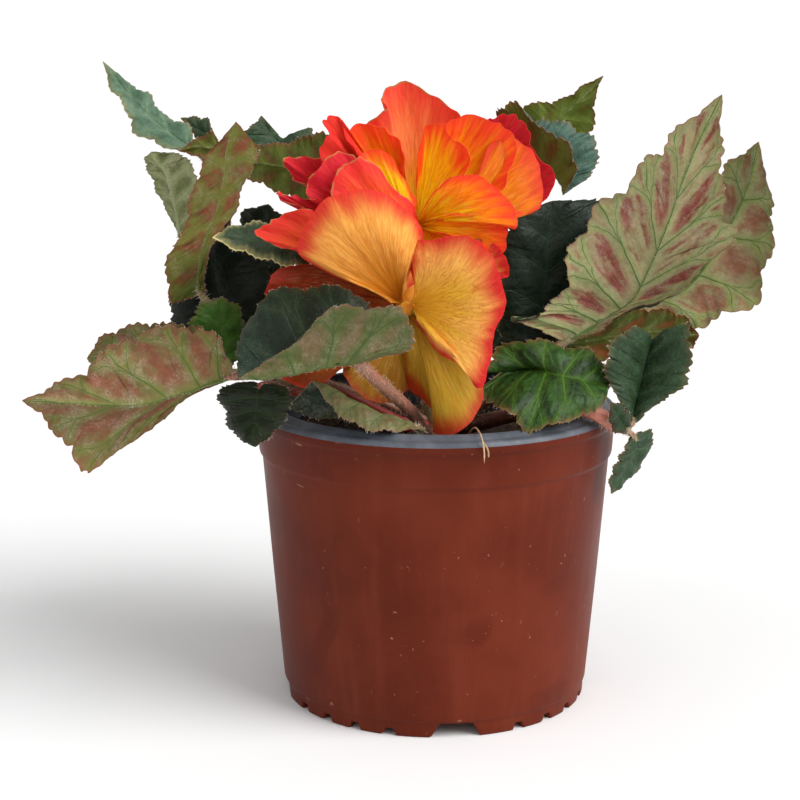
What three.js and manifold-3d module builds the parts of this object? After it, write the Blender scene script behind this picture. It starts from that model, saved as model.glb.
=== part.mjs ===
// A potted tuberous begonia: a double yellow-and-red flower and thirty leaves on one crown of
// fleshy stems, in a thin nursery pot filled with potting soil.
// Millimetres, +Z up. The origin is on the floor, under the middle of the pot's foot.
import * as THREE from 'three';
import { mergeVertices } from 'three/addons/utils/BufferGeometryUtils.js';
import Module from 'manifold-3d';

const wasm = await Module();
wasm.setup();

// ---- driving dimensions ----
const POT_HEIGHT = 111.4;
const ROLL_HEIGHT = 3.4;
const ROLL_WIDTH = 6.5;
const RIM_EDGE = POT_HEIGHT - ROLL_HEIGHT;
const RIM_RADIUS = 67;
const LIP_HEIGHT = 2.6;
const COLLAR_HEIGHT = 15;
const FOOT_RADIUS = 56.4;
const FOOT_HEIGHT = 6;
const FOOT_WIDTH = 3.8;
const POT_WALL = 1.6;
const ROUND_SIDES = 36;
const SOIL_HEIGHT = 97;
const CROWN_RADIUS = 11;
const CROWN_DEPTH = 10;
const CROWN_ABOVE_SOIL = 3;
const FIT_GAP = 0.3;
const LEAF_THICKNESS = 0.7;
const PETAL_THICKNESS = 0.9;
const STALK_GAP = 0.75;
const TOOTH_DEPTH = 0.12;
const LEAF_CROWN = 0.06;
const LARGE_LEAF = 50;

const point = ([x, y, z]) => new THREE.Vector3(x, y, z);

// ---- joining and cutting ----

function toSolid(geometry) {
  const bare = geometry.clone();
  bare.deleteAttribute('normal');
  bare.deleteAttribute('uv');
  const merged = mergeVertices(bare, 1e-4);
  const vertProperties = new Float32Array(merged.attributes.position.array);
  const triVerts = new Uint32Array(merged.index.array);
  return new wasm.Manifold(new wasm.Mesh({ numProp: 3, vertProperties, triVerts }));
}

// The outer skin of a joined solid: of its separate shells, the one that holds most volume.
// Sealed hollows and loose scraps are the other shells, and are left out.
function outerSkin(solid) {
  const { vertProperties, triVerts, numProp } = solid.getMesh();
  const corner = (i) => new THREE.Vector3().fromArray(vertProperties, i * numProp);
  const parent = Array.from({ length: vertProperties.length / numProp }, (_, i) => i);
  const rootOf = (i) => {
    let root = i;
    while (parent[root] !== root) root = parent[root];
    while (parent[i] !== root) [parent[i], i] = [root, parent[i]];
    return root;
  };
  for (let t = 0; t < triVerts.length; t += 3) {
    parent[rootOf(triVerts[t + 1])] = rootOf(triVerts[t]);
    parent[rootOf(triVerts[t + 2])] = rootOf(triVerts[t]);
  }
  const shells = new Map();
  for (let t = 0; t < triVerts.length; t += 3) {
    const root = rootOf(triVerts[t]);
    if (!shells.has(root)) shells.set(root, { volume: 0, corners: [] });
    const shell = shells.get(root);
    const [a, b, c] = [0, 1, 2].map((k) => corner(triVerts[t + k]));
    shell.volume += a.dot(b.clone().cross(c)) / 6;
    shell.corners.push(a, b, c);
  }
  const largest = [...shells.values()].reduce((best, s) => (s.volume > best.volume ? s : best));
  const geometry = new THREE.BufferGeometry().setFromPoints(largest.corners);
  geometry.computeVertexNormals();
  return geometry;
}

function fuse(geometries) {
  return outerSkin(wasm.Manifold.union(geometries.map(toSolid)));
}

function cut(geometry, tools) {
  return outerSkin(toSolid(geometry).subtract(wasm.Manifold.union(tools.map(toSolid))));
}

// ---- thin surfaces ----

// A grid of points becomes a closed blade: corners that coincide are joined, each is moved half
// the thickness to both sides along its own normal, and the open edges get a narrow wall.
function thicken(grid, thickness) {
  const points = [];
  const numbers = new Map();
  const numberOf = (p) => {
    const key = p.toArray().map((x) => x.toFixed(3)).join();
    if (!numbers.has(key)) {
      numbers.set(key, points.length);
      points.push(p.clone());
    }
    return numbers.get(key);
  };
  const index = grid.map((row) => row.map(numberOf));
  const faces = [];
  for (let i = 0; i + 1 < index.length; i += 1) {
    for (let j = 0; j + 1 < index[i].length; j += 1) {
      const [a, b, c, d] = [index[i][j], index[i + 1][j], index[i + 1][j + 1], index[i][j + 1]];
      faces.push([a, b, c], [a, c, d]);
    }
  }
  const whole = faces.filter(([a, b, c]) => a !== b && b !== c && a !== c);
  const normals = points.map(() => new THREE.Vector3());
  const edges = new Map();
  whole.forEach(([a, b, c]) => {
    const side = points[b].clone().sub(points[a]);
    const normal = side.cross(points[c].clone().sub(points[a]));
    [a, b, c].forEach((k) => normals[k].add(normal));
    [[a, b], [b, c], [c, a]].forEach(([p, q]) => edges.set(`${p} ${q}`, [p, q]));
  });
  const moved = (k, side) => points[k].clone().addScaledVector(normals[k], side * thickness / 2);
  normals.forEach((n) => n.normalize());
  const corners = [];
  whole.forEach(([a, b, c]) => {
    corners.push(moved(a, 1), moved(b, 1), moved(c, 1));
    corners.push(moved(a, -1), moved(c, -1), moved(b, -1));
  });
  edges.forEach(([p, q]) => {
    if (edges.has(`${q} ${p}`)) return;
    corners.push(moved(q, 1), moved(p, 1), moved(p, -1));
    corners.push(moved(q, 1), moved(p, -1), moved(q, -1));
  });
  const geometry = new THREE.BufferGeometry().setFromPoints(corners);
  geometry.computeVertexNormals();
  return geometry;
}

const smoothCurve = (points) => new THREE.CatmullRomCurve3(points, false, 'catmullrom', 0.5);

// A round stem along a path, six-sided, with a step for each of the path's points.
function stem(path, radius) {
  const round = new THREE.Shape().absarc(0, 0, radius, 0, 2 * Math.PI);
  const extrudePath = smoothCurve(path.map(point));
  return new THREE.ExtrudeGeometry(round, { steps: path.length, curveSegments: 3, extrudePath });
}

// ---- the pot ----

function potBody() {
  const wallTop = RIM_EDGE - COLLAR_HEIGHT;
  const profile = [
    [0, 0], [9, 0], [9.6, FOOT_HEIGHT], [FOOT_RADIUS - FOOT_WIDTH - 0.4, FOOT_HEIGHT],
    [FOOT_RADIUS - FOOT_WIDTH, 0], [FOOT_RADIUS, 0], [FOOT_RADIUS + 0.2, FOOT_HEIGHT - 0.6],
    [FOOT_RADIUS + 0.8, FOOT_HEIGHT + 0.4], [RIM_RADIUS - 2.6, wallTop - 1],
    [RIM_RADIUS - 1.4, wallTop + 0.6], [RIM_RADIUS - 0.9, RIM_EDGE - LIP_HEIGHT - 0.9],
    [RIM_RADIUS, RIM_EDGE - LIP_HEIGHT], [RIM_RADIUS, RIM_EDGE],
    [RIM_RADIUS - 0.8, RIM_EDGE + 1.5], [RIM_RADIUS - ROLL_WIDTH + 0.8, POT_HEIGHT],
    [RIM_RADIUS - ROLL_WIDTH, POT_HEIGHT - 0.6], [RIM_RADIUS - 1.2 - POT_WALL, RIM_EDGE - 1.5],
    [RIM_RADIUS - 1.4 - POT_WALL, wallTop + 0.6],
    [RIM_RADIUS - 2.6 - POT_WALL, wallTop - 2],
    [FOOT_RADIUS + 0.8 - POT_WALL, FOOT_HEIGHT + 2], [0, FOOT_HEIGHT + 2],
  ];
  const outline = profile.map(([r, z]) => new THREE.Vector2(r, z));
  const body = new THREE.LatheGeometry(outline, ROUND_SIDES);
  body.rotateX(Math.PI / 2);
  return body;
}

// A trapezoid notch through the foot ring, wider at the floor than at its top.
function footNotch(angle, { floorWidth, topWidth, height }) {
  const outline = new THREE.Shape([
    new THREE.Vector2(-floorWidth / 2, -1), new THREE.Vector2(floorWidth / 2, -1),
    new THREE.Vector2(topWidth / 2, height), new THREE.Vector2(-topWidth / 2, height),
  ]);
  const notch = new THREE.ExtrudeGeometry(outline, { depth: 12, bevelEnabled: false });
  notch.rotateX(Math.PI / 2);
  notch.translate(0, -(FOOT_RADIUS - 8), 0);
  notch.rotateZ(angle);
  return notch;
}

function pot() {
  const FIRST_NOTCH_ANGLE = 0.12;
  const LARGE_NOTCH = { floorWidth: 18, topWidth: 12, height: 5.2 };
  const SMALL_NOTCH = { floorWidth: 4.6, topWidth: 3.4, height: 2.6 };
  const SMALL_NOTCH_STEPS = [0.43, 0.67, 0.9, 1.14];
  const tools = [];
  for (let quarter = 0; quarter < 4; quarter += 1) {
    const start = FIRST_NOTCH_ANGLE + quarter * Math.PI / 2;
    tools.push(footNotch(start, LARGE_NOTCH));
    SMALL_NOTCH_STEPS.forEach((step) => tools.push(footNotch(start + step, SMALL_NOTCH)));
  }
  const DRAIN_HOLES = 6;
  const DRAIN_RADIUS = 4;
  const DRAIN_CIRCLE = 32;
  for (let i = 0; i < DRAIN_HOLES; i += 1) {
    const hole = new THREE.CylinderGeometry(DRAIN_RADIUS, DRAIN_RADIUS, FOOT_HEIGHT, 12);
    hole.rotateX(Math.PI / 2);
    const angle = (i + 0.5) * 2 * Math.PI / DRAIN_HOLES;
    const [x, y] = [DRAIN_CIRCLE * Math.cos(angle), DRAIN_CIRCLE * Math.sin(angle)];
    hole.translate(x, y, FOOT_HEIGHT + 1);
    tools.push(hole);
  }
  return cut(potBody(), tools);
}

// ---- the soil ----

// The soil fills the pot up to its own level, low and uneven on top, and has one round hole in
// which the plant's crown stands.
function soil() {
  const fill = FIT_GAP + 0.1;
  const profile = [
    [0, FOOT_HEIGHT + 2 + FIT_GAP], [FOOT_RADIUS + 0.8 - POT_WALL - fill, FOOT_HEIGHT + 2 + FIT_GAP],
    [RIM_RADIUS - 2.6 - POT_WALL - fill, RIM_EDGE - COLLAR_HEIGHT - 2],
    [RIM_RADIUS - 1.9 - POT_WALL - fill, SOIL_HEIGHT - 1.5],
    [52, SOIL_HEIGHT], [38, SOIL_HEIGHT + 0.6], [24, SOIL_HEIGHT + 0.2], [0, SOIL_HEIGHT + 0.4],
  ];
  const body = new THREE.LatheGeometry(profile.map(([r, z]) => new THREE.Vector2(r, z)), ROUND_SIDES);
  body.rotateX(Math.PI / 2);
  const position = body.attributes.position;
  for (let i = 0; i < position.count; i += 1) {
    const [x, y, z] = [position.getX(i), position.getY(i), position.getZ(i)];
    const middle = Math.hypot(x, y);
    const lump = middle > 20 && middle < 55 && z > SOIL_HEIGHT - 3 ? 1 : 0;
    position.setZ(i, z + lump * (Math.sin(x / 6 + 1) * Math.cos(y / 5) + 0.4 * Math.sin(x * y / 90)));
  }
  const holeDepth = CROWN_DEPTH + FIT_GAP;
  const holeRadius = CROWN_RADIUS + 2 * FIT_GAP;
  const hole = new THREE.CylinderGeometry(holeRadius, holeRadius, holeDepth + 10, 20);
  hole.rotateX(Math.PI / 2);
  hole.translate(0, 0, SOIL_HEIGHT - holeDepth + (holeDepth + 10) / 2);
  return cut(body, [hole]);
}

// ---- the leaves ----
// Each row is one side vein: the left margin, the midrib and the right margin, seen from above
// with the tip ahead. The stalk runs from the crown to the first midrib point.

const LEAVES = [
  {
    name: 'leaf_low_left',
    rows: [
      [[-71, -45, 131.5], [-72.5, -42, 127.5], [-75, -41, 125.5]],
      [[-75, -50, 145], [-80, -43, 126], [-91, -39, 118]],
      [[-94, -58, 150], [-89, -47, 123], [-109, -42, 104]],
      [[-113, -65, 141], [-103, -54, 121], [-124, -48, 96]],
      [[-127, -71, 133], [-121, -64, 123], [-133, -58, 112]],
    ],
    tip: [-139, -74, 126],
    stalk: [[-2, 0, 101], [-13, -6, 104], [-35, -20, 118], [-54, -30, 126], [-65, -36, 127]],
    stalkRadius: 1.7,
  },
  {
    name: 'leaf_low_left_back',
    rows: [
      [[-74, -29, 130.5], [-76.5, -27, 126.5], [-79, -27, 123.5]],
      [[-82, -30, 143], [-86, -28, 129], [-89, -28, 119]],
      [[-96, -25, 145], [-97, -24, 130], [-101, -28, 116]],
      [[-109, -19, 143], [-108, -20, 131], [-112, -26, 117]],
      [[-122, -14, 138], [-118, -16, 131], [-121, -20, 121]],
    ],
    tip: [-127, -12, 129],
    stalk: [[-2, 1, 102], [-35, -12, 118], [-54, -23, 124], [-67, -26, 126]],
    stalkRadius: 1.4,
    stalkGap: 1.05,
  },
  {
    name: 'leaf_over_rim_left',
    rows: [
      [[-60, -41, 125], [-61.5, -40, 124.5], [-64.5, -39, 125.5]],
      [[-51, -45, 124], [-62, -43, 122], [-76, -36, 124]],
      [[-51, -47, 119], [-63, -44, 118], [-78, -34, 117]],
      [[-53, -47, 112], [-64, -45, 114], [-76, -36, 110]],
      [[-58, -47, 106], [-64, -47, 109], [-70, -41, 105]],
    ],
    tip: [-64, -48, 104],
    stalk: [[-2, -1, 100], [-17, -9, 103], [-40, -24, 115], [-52, -34, 121]],
    stalkRadius: 1.6,
    stalkGap: 1.2,
  },
  {
    name: 'leaf_front_fold',
    rows: [
      [[-22.5, -61, 137], [-27.5, -59, 135.5], [-26, -57, 139]],
      [[-8, -72, 146], [-30, -61, 136], [-23, -52, 155]],
      [[-15, -76, 159], [-35, -62, 135], [-37, -50, 161]],
      [[-34, -75, 159], [-44, -62, 134], [-56, -48, 160]],
      [[-52, -69, 143], [-56, -62, 132], [-69, -50, 143]],
    ],
    tip: [-68, -61, 131],
    stalk: [[1, -3, 99], [-3, -29, 103], [-9, -38, 114], [-17, -49, 124], [-23, -56, 131]],
    stalkRadius: 2.5,
    stalkGap: 0.9,
  },
  {
    name: 'leaf_rim_front',
    rows: [
      [[-6, -49, 110.5], [-7, -48, 111], [-6.5, -46, 111.5]],
      [[-14, -61, 112], [-15, -53, 115], [-17, -46, 113]],
      [[-23, -63, 113], [-23, -55, 119], [-29, -46, 113]],
      [[-33, -58, 117], [-32, -53, 123], [-43, -44, 114]],
      [[-39, -52, 122], [-38, -49, 126], [-53, -43, 117]],
    ],
    tip: [-44, -46, 127],
    stalk: [[1, -4, 99], [-2, -28, 100], [-3, -38, 105]],
    stalkRadius: 1.3,
    stalkGap: 2.1,
  },
  {
    name: 'leaf_glossy_right',
    rows: [
      [[28, -28, 130.5], [31, -26, 129], [28, -30, 128.5]],
      [[16, -36, 129], [33, -29, 129], [15, -40, 122]],
      [[22, -32, 138], [36, -34, 129], [21, -52, 119]],
      [[38, -29, 139], [41, -38, 128], [31, -58, 112]],
      [[52, -27, 136], [48, -39, 127], [44, -52, 113]],
      [[60, -26, 130], [55, -34, 124], [56, -45, 117]],
    ],
    tip: [62, -27, 122],
    stalk: [[4, -2, 101], [13, -6, 107], [25, -16, 118]],
    stalkRadius: 1.6,
  },
  {
    name: 'leaf_right_fold',
    rows: [
      [[69, -27, 108.5], [70, -26, 107.5], [72, -26, 108]],
      [[63, -33, 120], [71, -24, 113], [80, -29, 116]],
      [[58, -36, 130], [73, -20, 120], [88, -30, 122]],
      [[61, -36, 138], [75, -18, 127], [91, -27, 132]],
      [[70, -31, 144], [77, -17, 133], [90, -22, 144]],
    ],
    tip: [78, -17, 136],
    stalk: [[64, -32, 108], [67, -29, 107]],
    stalkRadius: 1.3,
    stalkGap: 1.8,
  },
  {
    name: 'leaf_right_hanging',
    rows: [
      [[72, -25, 104], [70.5, -26, 103], [69, -27, 102.5]],
      [[78, -22, 105], [71.5, -28, 100.5], [66.5, -32, 100.5]],
      [[78.5, -22, 98], [70.5, -29, 96], [64.5, -34, 97.5]],
      [[73, -23, 89.5], [67.5, -30, 91.5], [62.5, -35, 94]],
      [[68, -26, 85], [65, -31, 86.5], [61, -34, 88]],
    ],
    tip: [62.5, -32, 83],
    stalk: [[64, -32, 107], [68, -29, 105]],
    stalkRadius: 1.2,
    stalkGap: 2.25,
  },
  {
    name: 'leaf_right_stipule',
    rows: [
      [[67, -37, 106], [67.5, -37, 107], [68.5, -37, 108.5]],
      [[61.5, -42, 107.5], [64, -41, 112], [67.5, -39, 114.5]],
      [[59.5, -44, 112.5], [62, -43, 115.5], [64.5, -40, 118]],
    ],
    tip: [60, -44, 119],
    stalk: [[63, -35, 108], [65, -36, 107]],
    stalkRadius: 1,
    stalkGap: 1.5,
  },
  {
    name: 'leaf_big_right',
    rows: [
      [[52, 20, 129], [50.5, 20, 129.5], [48.5, 19, 129.5]],
      [[62, 18, 134], [59, 20, 134], [27, 10, 140]],
      [[77, 13, 143], [67, 20, 139], [42, 15, 144]],
      [[94, 3, 151], [75, 18, 146], [48, 13, 165]],
      [[108, -8, 173], [80, 13, 160], [59, 9, 184]],
      [[103, -15, 190], [86, 6, 175], [75, 1, 200]],
      [[102, -20, 207], [92, -6, 201], [84, -9, 212]],
    ],
    tip: [98, -24, 224],
    stalk: [[6, 3, 103], [24, 8, 114], [40, 16, 124]],
    stalkRadius: 2,
    stalkGap: 3.3,
  },
  {
    name: 'leaf_far_right',
    rows: [
      [[79.5, 33, 136], [78, 36, 140], [77.5, 38, 144]],
      [[102, 28, 132], [97, 36, 147], [91, 42, 157]],
      [[123, 23, 142], [108, 33, 162], [99, 42, 171]],
      [[129, 18, 164], [115, 29, 176], [104, 40, 185]],
      [[126, 15, 184], [118, 23, 190], [111, 34, 197]],
    ],
    tip: [119, 14, 205],
    stalk: [[6, 5, 104], [33, 24, 115], [61, 36, 128]],
    stalkRadius: 1.7,
  },
  {
    name: 'leaf_right_under',
    rows: [
      [[49, 25, 125], [47.5, 26, 126.5], [49, 27, 128.5]],
      [[59, 21, 121], [59, 26, 128], [61, 29, 136]],
      [[74, 19, 122], [73, 25, 131], [76, 30, 140]],
      [[87, 19, 125], [85, 24, 132], [88, 29, 141]],
      [[97, 17, 126], [94, 21, 131], [96, 25, 138]],
    ],
    tip: [100, 17, 132],
    stalk: [[6, 4, 103], [31, 18, 113], [41, 24, 121]],
    stalkRadius: 1.3,
  },
  {
    name: 'leaf_dark_right',
    rows: [
      [[36, 19, 126.5], [38, 20, 126.5], [45.5, 21.5, 125.5]],
      [[25, 19, 133], [41, 24, 136], [57, 24, 133]],
      [[24, 17, 149], [42, 24, 150], [62, 31, 151]],
      [[25, 16, 166], [43, 22, 163], [68, 31, 171]],
      [[28, 18, 177], [43, 23, 173], [63, 31, 182]],
    ],
    tip: [44, 25, 182],
    stalk: [[6, 4, 104], [21, 12, 114], [32, 17, 122]],
    stalkRadius: 1.6,
    stalkGap: 2.4,
  },
  {
    name: 'leaf_top_right_roll',
    rows: [
      [[30.5, 33, 204], [27.5, 30, 200.5], [24.5, 26, 204.5]],
      [[40, 35, 213], [32, 30, 199], [22, 21, 217]],
      [[50, 35, 211], [37, 29, 197], [29, 18, 220]],
      [[60, 33, 207], [42, 27, 194], [39, 16, 212]],
      [[63, 31, 197], [46, 25, 191], [50, 16, 204]],
      [[58, 27, 190], [48, 24, 187], [53, 18, 195]],
    ],
    tip: [48, 22, 185],
    stalk: [[-7, 20, 148], [2, 24, 155], [13, 27, 175], [23, 30, 193]],
    stalkRadius: 1.6,
  },
  {
    name: 'leaf_top_right_back',
    rows: [
      [[36, 52, 196], [33.5, 52, 199], [30.5, 52, 201.5]],
      [[44, 49, 195], [39, 50, 204], [29, 52, 214]],
      [[54, 47, 199], [45, 48, 209], [39, 50, 218]],
      [[62, 45, 208], [52, 46, 215], [49, 48, 220]],
      [[62, 42, 221], [59, 43, 221], [56, 44, 225]],
    ],
    tip: [64, 40, 228],
    stalk: [[-7, 20, 148], [4, 27, 154], [16, 38, 171], [28, 49, 190]],
    stalkRadius: 1.5,
    stalkGap: 0.9,
  },
  {
    name: 'leaf_top_left',
    rows: [
      [[-91.5, 29, 199.5], [-90, 30, 200], [-89.5, 31, 202]],
      [[-101, 27, 201], [-97, 32, 204], [-93, 38, 210]],
      [[-113, 29, 206], [-106, 36, 210], [-104, 43, 214]],
      [[-118, 34, 217], [-113, 40, 217], [-109, 47, 222]],
      [[-124, 41, 223], [-120, 45, 225], [-118, 50, 226]],
    ],
    tip: [-127, 51, 233],
    stalk: [[-5, 16, 130], [-51, 21, 144], [-70, 23, 158], [-78, 21, 171], [-84, 26, 193]],
    stalkRadius: 1.6,
  },
  {
    name: 'leaf_top_left_small',
    rows: [
      [[-85, 43, 203.5], [-84.5, 43, 204.5], [-84.5, 43, 206]],
      [[-91, 44, 202.5], [-89, 46, 206.5], [-87, 48, 212]],
      [[-95, 47, 208], [-93.5, 48, 208.5], [-92.5, 50, 212.5]],
    ],
    tip: [-98, 50, 211.5],
    stalk: [[-78, 21, 171], [-80, 36, 190]],
    stalkRadius: 1.1,
    stalkGap: 1.05,
  },
  {
    name: 'leaf_brown_left',
    rows: [
      [[-78.5, 20, 202], [-78, 19, 200], [-78.5, 18, 198]],
      [[-83, 22, 208.5], [-84, 20, 202], [-85.5, 18, 197.5]],
      [[-89.5, 23, 205.5], [-89.5, 21, 202.5], [-90.5, 20, 199]],
    ],
    tip: [-96, 22, 201],
    stalk: [[-78, 21, 171], [-77, 20, 187]],
    stalkRadius: 1.1,
    stalkGap: 2.4,
  },
  {
    name: 'leaf_left_pale',
    rows: [
      [[-93.5, 18, 171], [-95, 19, 169], [-96.5, 20, 170.5]],
      [[-88, 12, 180], [-96, 19, 178], [-101, 25, 178]],
      [[-87, 10, 189], [-98, 20, 186], [-106, 29, 186]],
      [[-89, 13, 198], [-101, 23, 193], [-109, 32, 192]],
      [[-97, 21, 200], [-105, 28, 197], [-111, 33, 197]],
    ],
    tip: [-107, 31, 200],
    stalk: [[-70, 23, 158], [-83, 22, 162]],
    stalkRadius: 1.3,
  },
  {
    name: 'leaf_left_tall',
    rows: [
      [[-83.5, -9, 152.5], [-86, -8, 152.5], [-88, -6, 150]],
      [[-80, -11, 162], [-83, -8, 161], [-97, -1, 147]],
      [[-76, -13, 172], [-81, -8, 171], [-99, 0, 160]],
      [[-70, -17, 184], [-78, -9, 183], [-94, 1, 172]],
      [[-67, -20, 195], [-76, -10, 194], [-90, 1, 185]],
      [[-61, -21, 204], [-74, -12, 204], [-83, -3, 201]],
    ],
    tip: [-71, -15, 214],
    stalk: [[-3, 3, 104], [-32, 2, 111], [-54, 0, 123], [-72, -4, 137], [-81, -7, 146]],
    stalkRadius: 1.7,
    stalkGap: 1.5,
  },
  {
    name: 'leaf_behind_left',
    rows: [
      [[-31, 17, 194.5], [-31.5, 15, 192.5], [-31.5, 14, 190.5]],
      [[-41, 23, 208], [-41, 14, 193], [-41, 9, 181]],
      [[-51, 23, 206], [-50, 13, 195], [-49, 7, 182]],
      [[-60, 21, 204], [-59, 12, 196], [-59, 7, 186]],
      [[-68, 18, 203], [-68, 11, 197], [-68, 8, 191]],
    ],
    tip: [-75, 11, 197],
    stalk: [[-7, 20, 148], [-13, 23, 156], [-23, 23, 177], [-28, 19, 187]],
    stalkRadius: 1.5,
    stalkGap: 1.35,
  },
  {
    name: 'leaf_top_mid',
    rows: [
      [[-49.5, 34, 191], [-48, 34, 192], [-46.5, 34, 193]],
      [[-62, 31, 195], [-54, 36, 197], [-42, 39, 200]],
      [[-70, 31, 201], [-58, 37, 201], [-48, 42, 209]],
      [[-74, 33, 206], [-62, 38, 205], [-56, 40, 203]],
      [[-70, 36, 209], [-64, 39, 209], [-60, 40, 206]],
    ],
    tip: [-66, 40, 213],
    stalk: [[-7, 20, 148], [-15, 24, 158], [-34, 32, 180], [-43, 35, 188]],
    stalkRadius: 1.4,
    stalkGap: 1.05,
  },
  {
    name: 'leaf_yellow_edge',
    rows: [
      [[-42, -20, 166.5], [-42.5, -19, 167.5], [-42.5, -18, 168.5]],
      [[-47, -26, 163], [-48, -22, 169], [-47, -15, 175]],
      [[-54, -29, 164], [-54, -24, 171], [-55, -15, 179]],
      [[-63, -29, 167], [-62, -25, 173], [-65, -17, 180]],
      [[-72, -29, 170], [-71, -26, 174], [-73, -21, 179]],
    ],
    tip: [-79, -27, 174],
    stalk: [[-5, 14, 124], [-17, 8, 147], [-31, -2, 157]],
    stalkRadius: 1.3,
  },
  {
    name: 'leaf_left_back',
    rows: [
      [[-65, 17, 148.5], [-64, 16, 149.5], [-62.5, 15, 149]],
      [[-75, 17, 157], [-64, 15, 160], [-53, 11, 158]],
      [[-75, 15, 169], [-64, 11, 169], [-52, 7, 169]],
      [[-72, 11, 180], [-64, 8, 176], [-55, 4, 179]],
    ],
    tip: [-61, 4, 183],
    stalk: [[-3, 9, 110], [-25, 12, 120], [-51, 15, 136]],
    stalkRadius: 1.4,
    stalkGap: 1.95,
  },
  {
    name: 'leaf_left_dark',
    rows: [
      [[-81.5, 6, 135], [-75.5, 4, 136.5], [-68.5, 3, 137]],
      [[-99, 8, 137], [-79, 4, 146], [-62, -1, 142]],
      [[-100, 10, 147], [-82, 6, 155], [-61, 0, 159]],
      [[-97, 11, 161], [-83, 8, 165], [-65, 3, 171]],
      [[-91, 8, 171], [-83, 7, 172], [-73, 5, 175]],
    ],
    tip: [-85, 7, 176],
    stalk: [[-3, 5, 104], [-39, 8, 115], [-62, 7, 127]],
    stalkRadius: 1.5,
    stalkGap: 1.95,
  },
  {
    name: 'leaf_left_green',
    rows: [
      [[-78, -17, 125], [-77, -16, 124.5], [-76, -15, 124.5]],
      [[-86, -20, 133], [-77, -16, 132], [-68, -11, 131]],
      [[-89, -22, 143], [-78, -17, 138], [-68, -11, 140]],
      [[-85, -21, 150], [-78, -18, 145], [-71, -13, 149]],
    ],
    tip: [-77, -18, 152],
    stalk: [[-2, 2, 102], [-43, -8, 116], [-64, -14, 122]],
    stalkRadius: 1.4,
    stalkGap: 2.55,
  },
  {
    name: 'leaf_back_left',
    rows: [
      [[-15.5, 31, 121], [-14, 32, 120], [-13, 34, 120]],
      [[-38, 36, 134], [-26, 43, 130], [-14, 56, 130]],
      [[-56, 44, 144], [-40, 56, 138], [-26, 74, 136]],
      [[-70, 60, 146], [-55, 70, 141], [-44, 86, 134]],
      [[-78, 78, 142], [-69, 82, 139], [-62, 92, 132]],
    ],
    tip: [-80, 92, 132],
    stalk: [[-3, 7, 104], [-8, 20, 113]],
    stalkRadius: 1.6,
  },
  {
    name: 'leaf_back_mid_left',
    rows: [
      [[-7.5, 33, 129], [-6, 34, 128], [-4.5, 35, 129]],
      [[-22, 40, 146], [-11, 46, 140], [4, 50, 148]],
      [[-34, 54, 158], [-17, 60, 149], [2, 67, 156]],
      [[-40, 72, 160], [-23, 76, 152], [-6, 83, 156]],
      [[-38, 90, 154], [-29, 91, 150], [-20, 96, 150]],
    ],
    tip: [-34, 104, 144],
    stalk: [[-5, 16, 124], [-5, 26, 126]],
    stalkRadius: 1.5,
    stalkGap: 0.9,
  },
  {
    name: 'leaf_back_mid_right',
    rows: [
      [[6.5, 35, 127], [8, 34, 126], [9.5, 33, 127]],
      [[6, 50, 134], [15, 45, 136], [28, 40, 142]],
      [[12, 68, 144], [24, 58, 145], [42, 50, 152]],
      [[20, 84, 150], [32, 72, 150], [52, 64, 156]],
      [[32, 96, 152], [39, 87, 152], [52, 82, 154]],
    ],
    tip: [45, 100, 148],
    stalk: [[3, 5, 98], [5, 13, 108], [7, 24, 119]],
    stalkRadius: 1.6,
  },
  {
    name: 'leaf_back_right',
    rows: [
      [[15, 33.5, 118.5], [16, 32, 118], [17.5, 31, 118.5]],
      [[14, 54, 124], [28, 47, 127], [44, 42, 130]],
      [[22, 76, 128], [40, 62, 133], [60, 52, 134]],
      [[36, 94, 130], [52, 77, 134], [72, 66, 134]],
      [[54, 104, 128], [63, 91, 131], [78, 84, 130]],
    ],
    tip: [74, 104, 124],
    stalk: [[5, 7, 104], [12, 21, 113]],
    stalkRadius: 1.6,
  },
];

// The saw teeth of the margin: past each side vein's end the margin drops back by the tooth
// depth and rises again towards the next vein.
function toothPull(step, stepsPerVein) {
  const past = (step % stepsPerVein) / stepsPerVein;
  return past === 0 ? 0 : TOOTH_DEPTH * (1 - past);
}

// A blade: smooth curves run through the rows' left, middle and right points from base to tip.
// Between them a point is lifted by a shallow crown, so that each half bulges a little.
function leafBlade({ rows, tip }) {
  const length = point(tip).distanceTo(point(rows[0][1]));
  const stepsPerVein = length > LARGE_LEAF ? 3 : 2;
  const [left, rib, right] = [0, 1, 2].map((k) => (
    smoothCurve([...rows.map((row) => point(row[k])), point(tip)])));
  const ahead = point(tip).sub(point(rows[0][1])).normalize();
  const steps = rows.length * stepsPerVein;
  const acrossHalf = 2;
  const grid = [];
  for (let i = 0; i <= steps; i += 1) {
    const middle = rib.getPoint(i / steps);
    const reach = 1 - (i < steps ? toothPull(i, stepsPerVein) : 0);
    const line = [];
    for (let j = -acrossHalf; j <= acrossHalf; j += 1) {
      const share = Math.abs(j) / acrossHalf;
      const margin = (j < 0 ? left : right).getPoint(i / steps);
      const half = margin.sub(middle).multiplyScalar(reach);
      const lift = ahead.clone().cross(half).multiplyScalar(j < 0 ? 1 : -1);
      const height = LEAF_CROWN * 4 * share * (1 - share);
      line.push(middle.clone().addScaledVector(half, share).addScaledVector(lift, height));
    }
    grid.push(line);
  }
  return thicken(grid, LEAF_THICKNESS);
}

// ---- the bloom ----
// Each petal is a fan from its base to its rim. The belly is how far its middle is pushed out
// of the flat fan.

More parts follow.
